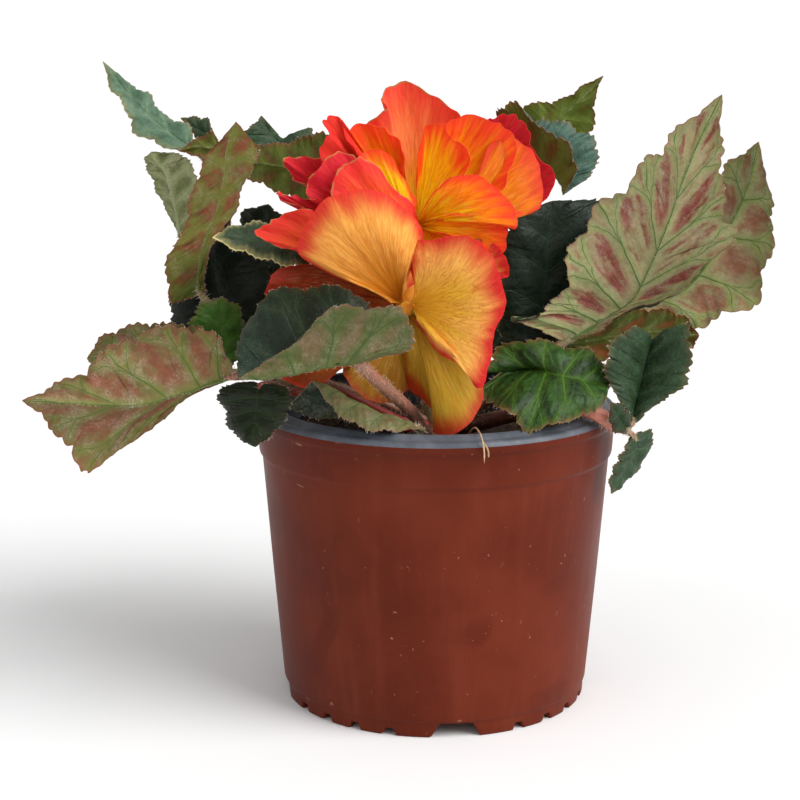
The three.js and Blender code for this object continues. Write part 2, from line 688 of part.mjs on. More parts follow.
const PETALS = [
  {
    base: [-12, -20, 150],
    rim: [
      [-7.5, -21, 157], [-7.5, -25, 165.5], [-6, -30, 178], [-15, -36, 187.5], [-24, -40, 192.5],
      [-34.5, -42, 191], [-42, -42, 186], [-47.5, -40, 175], [-46, -38, 169.5],
      [-37.5, -34, 163.5], [-26.5, -27, 157.5], [-16, -21, 149.5],
    ],
    belly: [-2, -9, 2],
  },
  {
    base: [-9.5, -20, 149.5],
    rim: [
      [-10, -27, 165], [-9.5, -30, 173.5], [-3, -34, 174.5], [8.5, -39, 176.5], [17, -41, 172],
      [21, -43, 162.5], [23, -45, 153.5], [19, -47, 143.5], [18, -49, 135.5], [14, -52, 125.5],
      [9, -47, 133], [0.5, -40, 137], [-4.5, -30, 140.5], [-9, -22, 145],
    ],
    belly: [2, -8, -1],
  },
  {
    base: [-10.5, -19, 147],
    rim: [
      [-13, -22, 133.5], [-12, -28, 124.5], [-6, -34, 118.5], [0, -40, 113.5], [0, -47, 108.5],
      [8, -50, 110.5], [14.5, -46, 117.5], [15.5, -42, 123], [10.5, -36, 129.5], [1, -27, 136],
      [-6, -20, 140.5],
    ],
    belly: [1, -7, 3],
  },
  {
    base: [-13, -17, 147],
    rim: [
      [-31, -30, 134], [-35, -36, 128], [-45.5, -40, 123], [-55, -40, 127.5], [-53.5, -38, 134.5],
      [-41.5, -30, 142],
    ],
    belly: [-1, -3, 2],
  },
  {
    base: [-12, -18, 146.5],
    rim: [
      [-31, -26, 133.5], [-33.5, -31, 127], [-26.5, -34, 119], [-17.5, -34, 116.5],
      [-12, -31, 120], [-10.5, -25, 130.5],
    ],
    belly: [0, -2, 0],
  },
  {
    base: [-13, -15, 148.5],
    rim: [
      [-18.5, -20, 152.5], [-29, -27, 158.5], [-43, -34, 164.5], [-54, -37, 165], [-59, -38, 160],
      [-59.5, -38, 153.5], [-48, -37, 148.5], [-30, -27, 141],
    ],
    belly: [0, -2, 4],
  },
  {
    base: [-14, -13, 154],
    rim: [
      [-38, -26, 165.5], [-48, -32, 170.5], [-56.5, -34, 172.5], [-63.5, -35, 176.5],
      [-58, -34, 181], [-48, -30, 184], [-38, -24, 179.5],
    ],
    belly: [0, -3, 2],
  },
  {
    base: [-13, -10, 156.5],
    rim: [
      [-39.5, -22, 186], [-48, -25, 188.5], [-57, -27, 190], [-49, -27, 185.5],
      [-39.5, -25, 182.5],
    ],
    belly: [0, -2, 3],
  },
  {
    base: [-11.5, -4, 160.5],
    rim: [
      [-45, -14, 190.5], [-52, -16, 197], [-55, -17, 201], [-48.5, -15, 201], [-40, -12, 201.5],
      [-31, -8, 198],
    ],
    belly: [0, 2, 2],
  },
  {
    base: [-10.5, -8, 163.5],
    rim: [
      [-32.5, -26, 186], [-39.5, -28, 185.5], [-44.5, -28, 188], [-45.5, -27, 193],
      [-41, -25, 199.5], [-35.5, -22, 204], [-29.5, -19, 202.5],
    ],
    belly: [0, -3, 2],
  },
  {
    base: [-8.5, -4, 168],
    rim: [
      [-30, -16, 202.5], [-33, -16, 209.5], [-33.5, -16, 214.5], [-38.5, -17, 215],
      [-39, -18, 210.5], [-41, -19, 202.5], [-34.5, -18, 195.5],
    ],
    belly: [0, 2, 3],
  },
  {
    base: [-8, -4, 169],
    rim: [
      [-32.5, -14, 201], [-33.5, -12, 209], [-25.5, -11, 212], [-17.5, -10, 211], [-14, -9, 204.5],
      [-12.5, -8, 196.5],
    ],
    belly: [0, 5, 2],
  },
  {
    base: [-8, -14, 167.5],
    rim: [
      [-34, -30, 186], [-37, -30, 190.5], [-35, -28, 197.5], [-30, -26, 201], [-24.5, -24, 200.5],
      [-17.5, -21, 193.5], [-9.5, -18, 185.5], [-7, -17, 177.5],
    ],
    belly: [0, -5, 2],
  },
  {
    base: [-8, -8, 171.5],
    rim: [
      [-29, -20, 199], [-27.5, -19, 202], [-21.5, -17, 204.5], [-16, -15, 200], [-10.5, -12, 191],
      [-8, -11, 184],
    ],
    belly: [0, -3, 1],
  },
  {
    base: [-7.5, -4, 171.5],
    rim: [
      [-21, -4, 203.5], [-24, -2, 211.5], [-18.5, 0, 218.5], [-19.5, 2, 222], [-10.5, 5, 226],
      [0.5, 5, 221.5], [8.5, 3, 215], [7, 0, 203],
    ],
    belly: [0, 9, 0],
  },
  {
    base: [-7, -8, 174],
    rim: [
      [-7.5, -13, 198.5], [-4, -14, 209.5], [-2, -14, 213], [2.5, -14, 213], [4.5, -14, 207.5],
      [11, -16, 203], [8, -17, 193.5], [-0.5, -16, 186.5],
    ],
    belly: [0, 4, 0],
  },
  {
    base: [-6.5, -6, 174.5],
    rim: [
      [4, -8, 203.5], [5.5, -6, 212.5], [13.5, -4, 215.5], [22.5, -4, 212], [27.5, -6, 207],
      [25.5, -10, 197.5], [23.5, -13, 190], [11.5, -14, 190],
    ],
    belly: [0, 5, 0],
  },
  {
    base: [-4.5, -4, 172.5],
    rim: [
      [19, -3, 203], [24, -2, 208.5], [32, -2, 204], [37, -4, 196], [37.5, -8, 184],
      [30.5, -12, 181.5], [24, -14, 186.5],
    ],
    belly: [3, -5, 0],
  },
  {
    base: [-7, -13, 177.5],
    rim: [
      [-3.5, -20, 185], [-0, -22, 191.5], [6, -24, 195], [14.5, -26, 195], [21.5, -27, 190.5],
      [26, -28, 186], [27.5, -29, 179], [22, -27, 181.5], [11.5, -24, 182.5],
    ],
    belly: [0, -6, 2],
  },
  {
    base: [-7, -14, 177],
    rim: [
      [4.5, -22, 182], [15, -24, 181.5], [23.5, -25, 180.5], [24, -27, 175], [22.5, -28, 169],
      [14, -28, 173], [4.5, -25, 175],
    ],
    belly: [0, -3, 0],
  },
  {
    base: [-9, -14, 156],
    rim: [
      [11.5, -24, 175], [18.5, -27, 173.5], [23.5, -28, 168], [25, -28, 161], [19, -29, 164],
      [15, -28, 161.5],
    ],
    belly: [2, -4, 0],
  },
  {
    base: [-4.5, 2, 168],
    rim: [
      [12.5, 6, 211.5], [20.5, 8, 214.5], [27.5, 8, 214.5], [33, 8, 209.5], [36, 7, 201.5],
      [41.5, 6, 196], [40.5, 3, 186.5], [30.5, 0, 183],
    ],
    belly: [3, 7, 2],
  },
  {
    base: [-8, -9, 163.5],
    rim: [
      [-7.5, -13, 178.5], [-2.5, -16, 177.5], [5, -20, 175], [10, -22, 172.5], [1, -18, 167],
    ],
    belly: [0, -2, 0],
  },
];

const RECEPTACLE = [-11.4, -20, 148];
const HEART = [-7, -4, 172.6];
const RECEPTACLE_RADIUS = 5;
const HEART_RADIUS = 3.6;

function petal({ base, rim, belly }) {
  const around = rim.length > 9 ? 10 : 6;
  const outwards = rim.length > 9 ? 3 : 2;
  const edge = smoothCurve(rim.map(point));
  const root = point(base);
  const grid = [];
  for (let i = 0; i <= around; i += 1) {
    const reach = edge.getPoint(i / around).sub(root);
    const line = [];
    for (let j = 0; j <= outwards; j += 1) {
      const s = j / outwards;
      const spot = root.clone().addScaledVector(reach, s);
      line.push(spot.addScaledVector(point(belly), 4 * s * (1 - s)));
    }
    grid.push(line);
  }
  return thicken(grid, PETAL_THICKNESS);
}

// The petals on the far side stand in two tiers: the lower ones spread, the upper ones rise.
function farPetals() {
  const tiers = [
    { root: [-10, -12, 160], count: 4, lean: 0.45, length: 33 },
    { root: [-8, -6, 168], count: 3, lean: 1.1, length: 30 },
  ];
  return tiers.flatMap(({ root, count, lean, length }) => (
    Array.from({ length: count }, (_, i) => {
      const angle = Math.PI * (i + 0.5) / count;
      const out = new THREE.Vector3(Math.cos(angle), 0.8 * Math.sin(angle), lean).normalize();
      const side = new THREE.Vector3(-Math.sin(angle), Math.cos(angle), 0);
      const rim = [-50, -38, -20, 0, 20, 38, 50].map((degrees) => {
        const turn = THREE.MathUtils.degToRad(degrees);
        const reach = length * (1 - 0.5 * Math.abs(Math.sin(turn)) ** 3);
        return point(root)
          .addScaledVector(out, reach * Math.cos(turn))
          .addScaledVector(side, reach * Math.sin(turn))
          .toArray();
      });
      return { base: root, rim, belly: [0, -2, -4] };
    })));
}

function bloom() {
  const core = stem([RECEPTACLE, HEART], HEART_RADIUS);
  const receptacle = new THREE.SphereGeometry(RECEPTACLE_RADIUS, 10, 8);
  receptacle.translate(...RECEPTACLE);
  const petals = [...PETALS, ...farPetals()].map(petal);
  return fuse([core, receptacle, ...petals]);
}

// ---- the crown, the stems and the leaf stalks ----

const STEMS = [
  { path: [[-1, 1, 98], [-4, 3, 118], [-9, -3, 135]], radius: 2.6 },
  { path: [[-1, 3, 96], [-3, 10, 115], [-6, 17, 134], [-7, 20, 150]], radius: 4 },
  { path: [[4, 2, 96], [6, 4, 106]], radius: 4 },
  {
    path: [[4, -1, 99], [30, -16, 109], [41, -27, 114], [50, -36, 115], [57, -38, 113], [65, -32, 107]],
    radius: 2.8,
  },
];

// A stalk ends just short of what it carries, with a narrow gap to it.
function stalkPath(path, end, gap) {
  const last = point(path[path.length - 1]);
  const goal = point(end);
  const back = last.sub(goal).normalize();
  return [...path, goal.addScaledVector(back, gap).toArray()];
}

function stems() {
  const crownHeight = CROWN_DEPTH + CROWN_ABOVE_SOIL;
  const crown = new THREE.CylinderGeometry(CROWN_RADIUS - 2, CROWN_RADIUS, crownHeight, 12);
  crown.rotateX(Math.PI / 2);
  crown.translate(0, 0, SOIL_HEIGHT - CROWN_DEPTH + crownHeight / 2);
  const [flowerStem, ...leafStems] = STEMS;
  const flowerPath = stalkPath(flowerStem.path, RECEPTACLE, RECEPTACLE_RADIUS + STALK_GAP);
  const pieces = [crown, stem(flowerPath, flowerStem.radius)];
  leafStems.forEach(({ path, radius }) => pieces.push(stem(path, radius)));
  LEAVES.forEach(({ stalk, stalkRadius, stalkGap = STALK_GAP, rows }) => {
    pieces.push(stem(stalkPath(stalk, rows[0][1], stalkGap), stalkRadius));
  });
  return fuse(pieces);
}

// ---- the whole plant ----

const FINISHES = {
  pot: { color: 0x9a4a38, roughness: 0.55, metalness: 0 },
  soil: { color: 0x2a2018, roughness: 0.95, metalness: 0 },
  stems: { color: 0xa8685a, roughness: 0.6, metalness: 0 },
  leaf: { color: 0x4f6a3a, roughness: 0.5, metalness: 0 },
  bloom: { color: 0xf27a1e, roughness: 0.55, metalness: 0 },
};

function piece(name, geometry, finish) {
  const mesh = new THREE.Mesh(geometry, new THREE.MeshStandardMaterial(FINISHES[finish]));
  mesh.name = name;
  return mesh;
}

const begonia = new THREE.Group();
begonia.add(piece('pot', pot(), 'pot'));
begonia.add(piece('soil', soil(), 'soil'));
begonia.add(piece('stems', stems(), 'stems'));
begonia.add(piece('bloom', bloom(), 'bloom'));
LEAVES.forEach((leaf) => begonia.add(piece(leaf.name, leafBlade(leaf), 'leaf')));

export default begonia;
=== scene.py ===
import math

import bmesh
import bpy
import numpy as np
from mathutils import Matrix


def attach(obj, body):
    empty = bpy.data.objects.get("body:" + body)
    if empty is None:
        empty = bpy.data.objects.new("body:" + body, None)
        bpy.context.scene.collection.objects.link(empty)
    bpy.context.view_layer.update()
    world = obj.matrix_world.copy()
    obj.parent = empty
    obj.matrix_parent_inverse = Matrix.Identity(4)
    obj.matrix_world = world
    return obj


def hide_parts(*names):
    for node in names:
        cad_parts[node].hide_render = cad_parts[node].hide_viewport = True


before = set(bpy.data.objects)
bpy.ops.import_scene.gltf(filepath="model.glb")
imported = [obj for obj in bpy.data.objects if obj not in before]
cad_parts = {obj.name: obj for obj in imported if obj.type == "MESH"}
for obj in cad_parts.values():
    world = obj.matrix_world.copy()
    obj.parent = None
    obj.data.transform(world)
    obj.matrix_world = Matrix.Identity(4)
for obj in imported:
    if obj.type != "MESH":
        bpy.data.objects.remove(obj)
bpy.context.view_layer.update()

# ======================================================================================
# The pot
# A thin round nursery pot, drawn from a sheet with a terracotta brown and a grey layer of
# plastic. Its rim is rolled inwards so that the grey layer shows on top, and it stands on a
# notched foot ring. Handling has left pale scuffs and dust.
# ======================================================================================
MM = 0.001
JOIN_DISTANCE = 2e-7
CRISP_EDGE = 60
POT_HEIGHT = 111.4
ROLL_HEIGHT = 3.4
ROLL_WIDTH = 6.5
RIM_EDGE = POT_HEIGHT - ROLL_HEIGHT
RIM_RADIUS = 67.0
LIP_HEIGHT = 2.6
COLLAR_HEIGHT = 15.0
FOOT_RADIUS = 56.4
FOOT_HEIGHT = 6.0
FOOT_WIDTH = 3.8
POT_WALL = 1.6
POT_SIDES = 360
# Half the width at the floor, half the width at the top, and the height.
LARGE_NOTCH = (9.0, 6.0, 5.2)
SMALL_NOTCH = (2.3, 1.7, 2.6)
FIRST_NOTCH_ANGLE = 0.12
SMALL_NOTCH_STEPS = (0.43, 0.67, 0.9, 1.14)


def colour(red, green, blue):
    """A colour as the eye reads it, 0 to 255, in the linear light that shaders use:
    c = ((v / 255 + 0.055) / 1.055) ** 2.4, or v / 255 / 12.92 where v is very dark."""
    values = np.array([red, green, blue]) / 255
    linear = np.where(values > 0.04045, ((values + 0.055) / 1.055) ** 2.4, values / 12.92)
    return tuple(linear.tolist()) + (1.0,)


def put_mesh(name, points, faces, materials, face_material=None, attributes=None, sharp=CRISP_EDGE):
    """Makes an object from points in millimetres and faces by point number. Points that
    coincide are joined, and edges bent by more than the sharp angle stay crisp."""
    mesh = bpy.data.meshes.new(name)
    mesh.from_pydata((np.asarray(points) * MM).tolist(), [], [list(map(int, f)) for f in faces])
    for material in materials:
        mesh.materials.append(material)
    if face_material is not None:
        mesh.polygons.foreach_set("material_index", np.asarray(face_material, np.int32))
    for key, values in (attributes or {}).items():
        values = np.asarray(values, np.float32)
        kind = "FLOAT" if values.ndim == 1 else "FLOAT_COLOR"
        layer = mesh.attributes.new(key, kind, "POINT")
        layer.data.foreach_set("value" if values.ndim == 1 else "color", values.ravel())
    joined = bmesh.new()
    joined.from_mesh(mesh)
    bmesh.ops.remove_doubles(joined, verts=joined.verts, dist=JOIN_DISTANCE)
    bmesh.ops.dissolve_degenerate(joined, edges=joined.edges, dist=JOIN_DISTANCE / 20)
    joined.to_mesh(mesh)
    joined.free()
    mesh.polygons.foreach_set("use_smooth", np.ones(len(mesh.polygons), bool))
    mesh.set_sharp_from_angle(angle=math.radians(sharp))
    piece = bpy.data.objects.new(name, mesh)
    bpy.context.scene.collection.objects.link(piece)
    return piece


def grid_faces(rows, columns, closed_columns=False):
    """Quads between neighbours of a grid whose points are numbered row by row. Seen with the
    rows running up and the columns to the right, they face the viewer."""
    number = np.arange(rows * columns).reshape(rows, columns)
    if closed_columns:
        number = np.concatenate([number, number[:, :1]], axis=1)
    corners = (number[:-1, :-1], number[:-1, 1:], number[1:, 1:], number[1:, :-1])
    return np.stack(corners, axis=-1).reshape(-1, 4)


class Finish:
    """A material made of nodes: each call adds one node and returns its output."""

    def __init__(self, name):
        self.material = bpy.data.materials.new(name)
        self.material.use_nodes = True
        self.nodes = self.material.node_tree.nodes
        self.links = self.material.node_tree.links
        self.shader = self.nodes["Principled BSDF"]

    def add(self, kind, inputs, output=0, **settings):
        node = self.nodes.new("ShaderNode" + kind)
        for key, value in settings.items():
            setattr(node, key, value)
        for key, value in inputs.items():
            self.put(node.inputs[key], value)
        return node.outputs[output]

    def put(self, socket, value):
        if isinstance(value, bpy.types.NodeSocket):
            self.links.new(value, socket)
        else:
            socket.default_value = value

    def set(self, **values):
        for key, value in values.items():
            socket = key.replace("_", " ").title().replace("Ior", "IOR")
            self.put(self.shader.inputs[socket], value)

    def scatter(self, weight, radius):
        self.set(subsurface_weight=weight, subsurface_radius=radius, subsurface_scale=MM)

    def math(self, operation, a, b=0.0):
        return self.add("Math", {0: a, 1: b}, operation=operation)

    def times(self, a, b):
        return self.math("MULTIPLY", a, b)

    def plus(self, a, b):
        return self.math("ADD", a, b)

    def minus(self, a, b):
        return self.math("SUBTRACT", a, b)

    def larger(self, a, b):
        return self.math("MAXIMUM", a, b)

    def span(self, value, low, high, bottom=0.0, top=1.0):
        inputs = {"Value": value, "From Min": low, "From Max": high, "To Min": bottom,
                  "To Max": top}
        return self.add("MapRange", inputs, interpolation_type="SMOOTHSTEP")

    def blend(self, share, a, b, blend_type="MIX"):
        return self.add("Mix", {0: share, 6: a, 7: b}, output=2, data_type="RGBA",
                        blend_type=blend_type, clamp_factor=True)

    def place(self, scale=(1, 1, 1), turn=(0, 0, 0), source=None):
        where = source or self.add("TexCoord", {}, output="Object")
        return self.add("Mapping", {"Vector": where, "Scale": scale, "Rotation": turn})

    def noise(self, where, scale, detail=3.0, rough=0.5, distortion=0.0):
        inputs = {"Vector": where, "Scale": scale, "Detail": detail, "Roughness": rough,
                  "Distortion": distortion}
        return self.add("TexNoise", inputs)

    def cells(self, where, scale, feature="DISTANCE_TO_EDGE"):
        inputs = {"Vector": where, "Scale": scale}
        return self.add("TexVoronoi", inputs, output="Distance", feature=feature)

    def read(self, name, output="Fac"):
        return self.add("Attribute", {}, output=output, attribute_name=name)

    def bump(self, height, strength, distance):
        inputs = {"Height": height, "Strength": strength, "Distance": distance}
        return self.add("Bump", inputs)


def notch_height(angle):
    """How far the foot's lower edge is cut up at an angle, in mm: for each notch the height
    times clip((half floor width - |x|) / (half floor width - half top width), 0, 1), with x
    the distance along the foot from the notch's middle. Four large notches stand a quarter
    turn apart, with four small ones between them."""
    turn = np.mod(angle + math.pi / 2 - FIRST_NOTCH_ANGLE, math.pi / 2)
    height = np.zeros_like(turn)
    for middle in (0.0, math.pi / 2) + SMALL_NOTCH_STEPS:
        half_floor, half_top, rise = LARGE_NOTCH if middle in (0.0, math.pi / 2) else SMALL_NOTCH
        x = np.abs(turn - middle) * FOOT_RADIUS
        height = np.maximum(height,
                            rise * np.clip((half_floor - x) / (half_floor - half_top), 0, 1))
    return height


def turned(profile, angle, lift=0):
    """A profile (r, z) carried round the axis: (r cos a, r sin a, z + lift)."""
    profile = np.array(profile, float)
    r, z = profile[:, :1], profile[:, 1:]
    return np.stack([r * np.cos(angle), r * np.sin(angle), z + 0 * angle + lift], axis=-1)


def turned_pot():
    """The pot's profile turned on its axis. Below the foot height h a point is lifted by
    notch(a) * (1 - z / h). Faces past the rim's brown edge belong to the grey layer."""
    foot, deck, rim, edge, wall = FOOT_RADIUS, FOOT_HEIGHT, RIM_RADIUS, RIM_EDGE, POT_WALL
    step, lip = edge - COLLAR_HEIGHT, edge - LIP_HEIGHT
    roll, inner = rim - ROLL_WIDTH, foot - FOOT_WIDTH
    outside = [
        (0.01, 0), (5, 0), (9, 0), (9.3, 1.5), (9.6, deck), (24, deck), (44, deck),
        (inner - 0.8, deck), (inner - 0.3, deck - 0.6), (inner, 3), (inner + 0.1, 0.5),
        (inner + 0.6, 0), (inner + 1.9, 0), (foot - 0.7, 0), (foot - 0.2, 0.2), (foot, 0.7),
        (foot + 0.1, 3), (foot + 0.2, deck - 0.8), (foot + 0.35, deck - 0.3),
        (foot + 0.75, deck + 0.1), (foot + 0.9, deck + 0.7), (foot + 1.9, 18), (foot + 4.5, 48),
        (rim - 3.7, 78), (rim - 2.6, step - 1.6), (rim - 2.5, step - 0.9), (rim - 2.1, step - 0.3),
        (rim - 1.6, step + 0.2), (rim - 1.4, step + 1.0), (rim - 1.1, step + 6),
        (rim - 0.95, lip - 1.4), (rim - 0.8, lip - 0.7), (rim - 0.35, lip - 0.25),
        (rim - 0.08, lip + 0.2), (rim, lip + 0.8), (rim, edge - 0.5), (rim - 0.04, edge - 0.1),
    ]
    inside = [
        (rim - 0.16, edge + 0.2), (rim - 0.38, edge + 0.75), (rim - 0.8, edge + 1.3),
        (rim - 1.4, edge + 1.65), (rim - 2.1, edge + 1.72), (rim - 2.7, edge + 1.62),
        (rim - 3.1, edge + 1.75), (rim - 3.7, edge + 2.3), (roll + 1.8, POT_HEIGHT - 0.45),
        (roll + 1.1, POT_HEIGHT - 0.1), (roll + 0.6, POT_HEIGHT), (roll + 0.2, POT_HEIGHT - 0.15),
        (roll, POT_HEIGHT - 0.6), (roll + 0.3, POT_HEIGHT - 1.1), (rim - 1.6 - wall, edge - 0.9),
        (rim - 1.2 - wall, edge - 1.9), (rim - 1.3 - wall, step + 2.4),
        (rim - 1.6 - wall, step + 0.4), (rim - 2.5 - wall, step - 1.0),
        (rim - 2.6 - wall, step - 2), (foot + 4.5 - wall, 48), (foot + 0.8 - wall, deck + 2),
        (40, deck + 2), (20, deck + 2), (0.01, deck + 2),
    ]
    profile = np.array(outside + inside)
    angle = np.linspace(0, 2 * math.pi, POT_SIDES, endpoint=False)
    r, z = profile[:, :1], profile[:, 1:]
    ring = (r > inner - 1.0) & (z < FOOT_HEIGHT)
    lift = ring * notch_height(angle)[None, :] * (1 - np.clip(z / FOOT_HEIGHT, 0, 1))
    points = turned(profile, angle, lift)
    faces = grid_faces(len(profile), POT_SIDES, closed_columns=True)
    layer = (faces[:, 0] // POT_SIDES >= len(outside) - 1).astype(int)
    return points.reshape(-1, 3), faces, layer


def terracotta_plastic():
    """Brown plastic: broad dusty clouds, faint upright streaks from drawing, dust specks and
    short pale scratches in patches, and painted shade that darkens the collar towards the rim."""
    finish = Finish("terracotta plastic")
    where = finish.place()
    clouds = finish.noise(where, 22, 4, 0.55)
    base = finish.blend(finish.span(clouds, 0.35, 0.7), colour(90, 31, 14), colour(106, 41, 22))
    upright = finish.noise(finish.place(scale=(1, 1, 0.06)), 130, 3, 0.6)
    base = finish.blend(finish.span(upright, 0.45, 0.75, 0, 0.35), base, colour(118, 52, 33))
    deep = finish.noise(where, 34, 2, 0.4, 0.6)
    base = finish.blend(finish.span(deep, 0.62, 0.72, 0, 0.5), base, colour(82, 27, 12))
    # Painted shade: the collar darkens towards the rim, standing in for the shadow of the leaves
    # above it.
    height = finish.add("SeparateXYZ", {"Vector": where}, output="Z")
    collar_shade = finish.span(height, (RIM_EDGE - COLLAR_HEIGHT) * MM - 0.004, RIM_EDGE * MM, 0, 0.5)
    base = finish.blend(collar_shade, base, colour(78, 25, 12))
    fine_dust = finish.noise(where, 1500, 2, 0.6)
    base = finish.blend(finish.span(fine_dust, 0.6, 0.8, 0, 0.3), base, colour(128, 70, 54))
    specks = finish.cells(where, 420, "F1")
    patches = finish.noise(where, 60, 3, 0.6)
    speck_mask = finish.times(finish.span(specks, 0.02, 0.1, 1, 0),
                              finish.span(patches, 0.58, 0.72))
    base = finish.blend(finish.times(speck_mask, 0.35), base, colour(166, 112, 92))
    scratch = None
    for turn, scale, seed in ((0.5, 620, 0.0), (-0.9, 760, 3.0), (1.4, 520, 7.0)):
        leant = finish.place(turn=(turn, seed, turn))
        lines = finish.noise(finish.place(scale=(1, 1, 0.1), source=leant), scale, 1, 0.3)
        thin = finish.span(lines, 0.755, 0.785)
        where_marked = finish.noise(finish.place(turn=(seed, turn, 0.3)), 48, 2, 0.5)
        mark = finish.times(thin, finish.span(where_marked, 0.52, 0.64))
        scratch = mark if scratch is None else finish.larger(scratch, mark)
    base = finish.blend(finish.times(scratch, 0.45), base, colour(176, 130, 110))
    rough = finish.span(clouds, 0.3, 0.7, 0.4, 0.54)
    finish.set(base_color=base, roughness=finish.plus(rough, finish.times(scratch, 0.2)))
    peel = finish.plus(finish.noise(where, 900, 2, 0.5), finish.times(scratch, -1.5))
    finish.set(normal=finish.bump(peel, 0.25, 0.00008), specular_ior_level=0.1)
    return finish.material


def grey_plastic():
    """The grey inner layer: even and matt, with lighter rub marks and a little soil dust."""
    finish = Finish("grey inner plastic")
    where = finish.place()
    rubbed = finish.noise(where, 90, 4, 0.6)
    base = finish.blend(finish.span(rubbed, 0.4, 0.7), colour(70, 75, 84), colour(92, 97, 106))
    dust = finish.noise(where, 600, 2, 0.6)
    base = finish.blend(finish.span(dust, 0.62, 0.8, 0, 0.4), base, colour(134, 128, 120))
    finish.set(base_color=base, roughness=0.5, normal=finish.bump(rubbed, 0.2, 0.0001))
    return finish.material


pot_points, pot_faces, pot_layer = turned_pot()
pot = put_mesh("nursery_pot", pot_points, pot_faces, [terracotta_plastic(), grey_plastic()],
               face_material=pot_layer, sharp=50)
DRAIN_HOLES = 6
DRAIN_RADIUS = 4.0
DRAIN_CIRCLE = 32.0
DRAIN_SIDES = 32
drill_angle = np.linspace(0, 2 * math.pi, DRAIN_SIDES, endpoint=False)
drill = turned([(0.01, FOOT_HEIGHT - 2), (DRAIN_RADIUS, FOOT_HEIGHT - 2),
                (DRAIN_RADIUS, FOOT_HEIGHT + 4), (0.01, FOOT_HEIGHT + 4)], drill_angle)
drill = drill.reshape(-1, 3)
hole_angle = (np.arange(DRAIN_HOLES)[:, None] + 0.5) * 2 * math.pi / DRAIN_HOLES
hole_centre = DRAIN_CIRCLE * np.hstack([np.cos(hole_angle), np.sin(hole_angle), 0 * hole_angle])
drill_faces = grid_faces(4, DRAIN_SIDES, closed_columns=True)
drill_shift = len(drill) * np.arange(DRAIN_HOLES)[:, None, None]
drills = put_mesh("drain_drills", (drill[None] + hole_centre[:, None]).reshape(-1, 3),
                  (drill_faces[None] + drill_shift).reshape(-1, 4), [])
cutting = pot.modifiers.new("drain holes", "BOOLEAN")
cutting.object = drills
cutting.solver = "EXACT"
drilled = bpy.data.meshes.new_from_object(pot.evaluated_get(bpy.context.evaluated_depsgraph_get()))
pot.modifiers.clear()
pot.data = drilled
bpy.data.objects.remove(drills)
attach(pot, "root")
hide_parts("pot")

# ======================================================================================
# The soil
# Dark, crumbly potting mix that fills the pot to a finger's width under its rim: one uneven
# body, with loose crumbs, bark chips and a few pale grains lying on it.
# ======================================================================================
SOIL_HEIGHT = 97.0
SOIL_RADIUS = RIM_RADIUS - 1.9 - POT_WALL - 0.3
SOIL_RINGS, SOIL_SIDES = 56, 260


def ripple(points, size, seed):
    """A smooth uneven field from -1 to 1: the mean of twelve plane waves sin(k . p + f), with
    directions and phases drawn from the seed and wave lengths near the given size."""
    draw = np.random.default_rng(seed)
    direction = draw.normal(size=(12, 3))
    direction /= np.linalg.norm(direction, axis=1, keepdims=True)
    waves = direction * (2 * math.pi / (size * draw.uniform(0.7, 1.5, (12, 1))))
    phase = draw.uniform(0, 2 * math.pi, 12)
    return np.sin(points @ waves.T + phase).mean(axis=-1) * 2.2


def soil_height(x, y):
    """Height of the soil at (x, y) in mm: the level, lowered towards the pot's wall by
    1.5 u^6 with u = r / radius, plus ripples of 18, 6 and 2 mm wave length."""
    flat = np.stack([x, y, 0 * x], axis=-1)
    u = np.hypot(x, y) / SOIL_RADIUS
    lumps = 1.1 * ripple(flat, 18, 11) + 0.55 * ripple(flat, 6, 12) + 0.3 * ripple(flat, 2.2, 13)
    return SOIL_HEIGHT + 0.2 + lumps * (1 - 0.6 * u ** 6) - 1.5 * u ** 6


def soil_body():
    """A disc of rings: (r cos a, r sin a, height(x, y)) for r from 0 to the wall, then down the
    wall and back to the axis along the pot's floor."""
    rings = np.concatenate([[0.01], np.linspace(1.2, SOIL_RADIUS, SOIL_RINGS)])
    angle = np.linspace(0, 2 * math.pi, SOIL_SIDES, endpoint=False)
    x, y = rings[:, None] * np.cos(angle), rings[:, None] * np.sin(angle)
    top = np.stack([x, y, soil_height(x, y)], axis=-1)
    side = [(SOIL_RADIUS - 0.1, 94.0), (SOIL_RADIUS - 1.0, 90.0),
            (FOOT_RADIUS + 0.3 - POT_WALL, FOOT_HEIGHT + 2.3), (30, FOOT_HEIGHT + 2.3),
            (0.01, FOOT_HEIGHT + 2.3)]
    points = np.concatenate([top, turned(side, angle)])
    faces = grid_faces(len(points), len(angle), closed_columns=True)[:, ::-1]
    return points.reshape(-1, 3), faces


def potting_soil():
    """Near-black brown with lighter fibres and a rough, crumbly relief."""
    finish = Finish("potting soil")
    where = finish.place()
    clumps = finish.noise(where, 260, 6, 0.7)
    base = finish.blend(finish.span(clumps, 0.35, 0.7), colour(30, 22, 17), colour(82, 62, 46))
    along = finish.place(scale=(1, 0.15, 1), source=finish.place(turn=(0, 0, 0.7)))
    fibres = finish.noise(along, 900, 3, 0.6)
    base = finish.blend(finish.span(fibres, 0.62, 0.72, 0, 0.6), base, colour(126, 98, 70))
    finish.set(base_color=base, roughness=0.95)
    relief = finish.plus(clumps, finish.noise(where, 1400, 3, 0.7))
    finish.set(normal=finish.bump(relief, 0.9, 0.0008), specular_ior_level=0.2)
    return finish.material


soil_points, soil_faces = soil_body()
soil = put_mesh("potting_soil", soil_points, soil_faces, [potting_soil()])
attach(soil, "root")
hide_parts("soil")

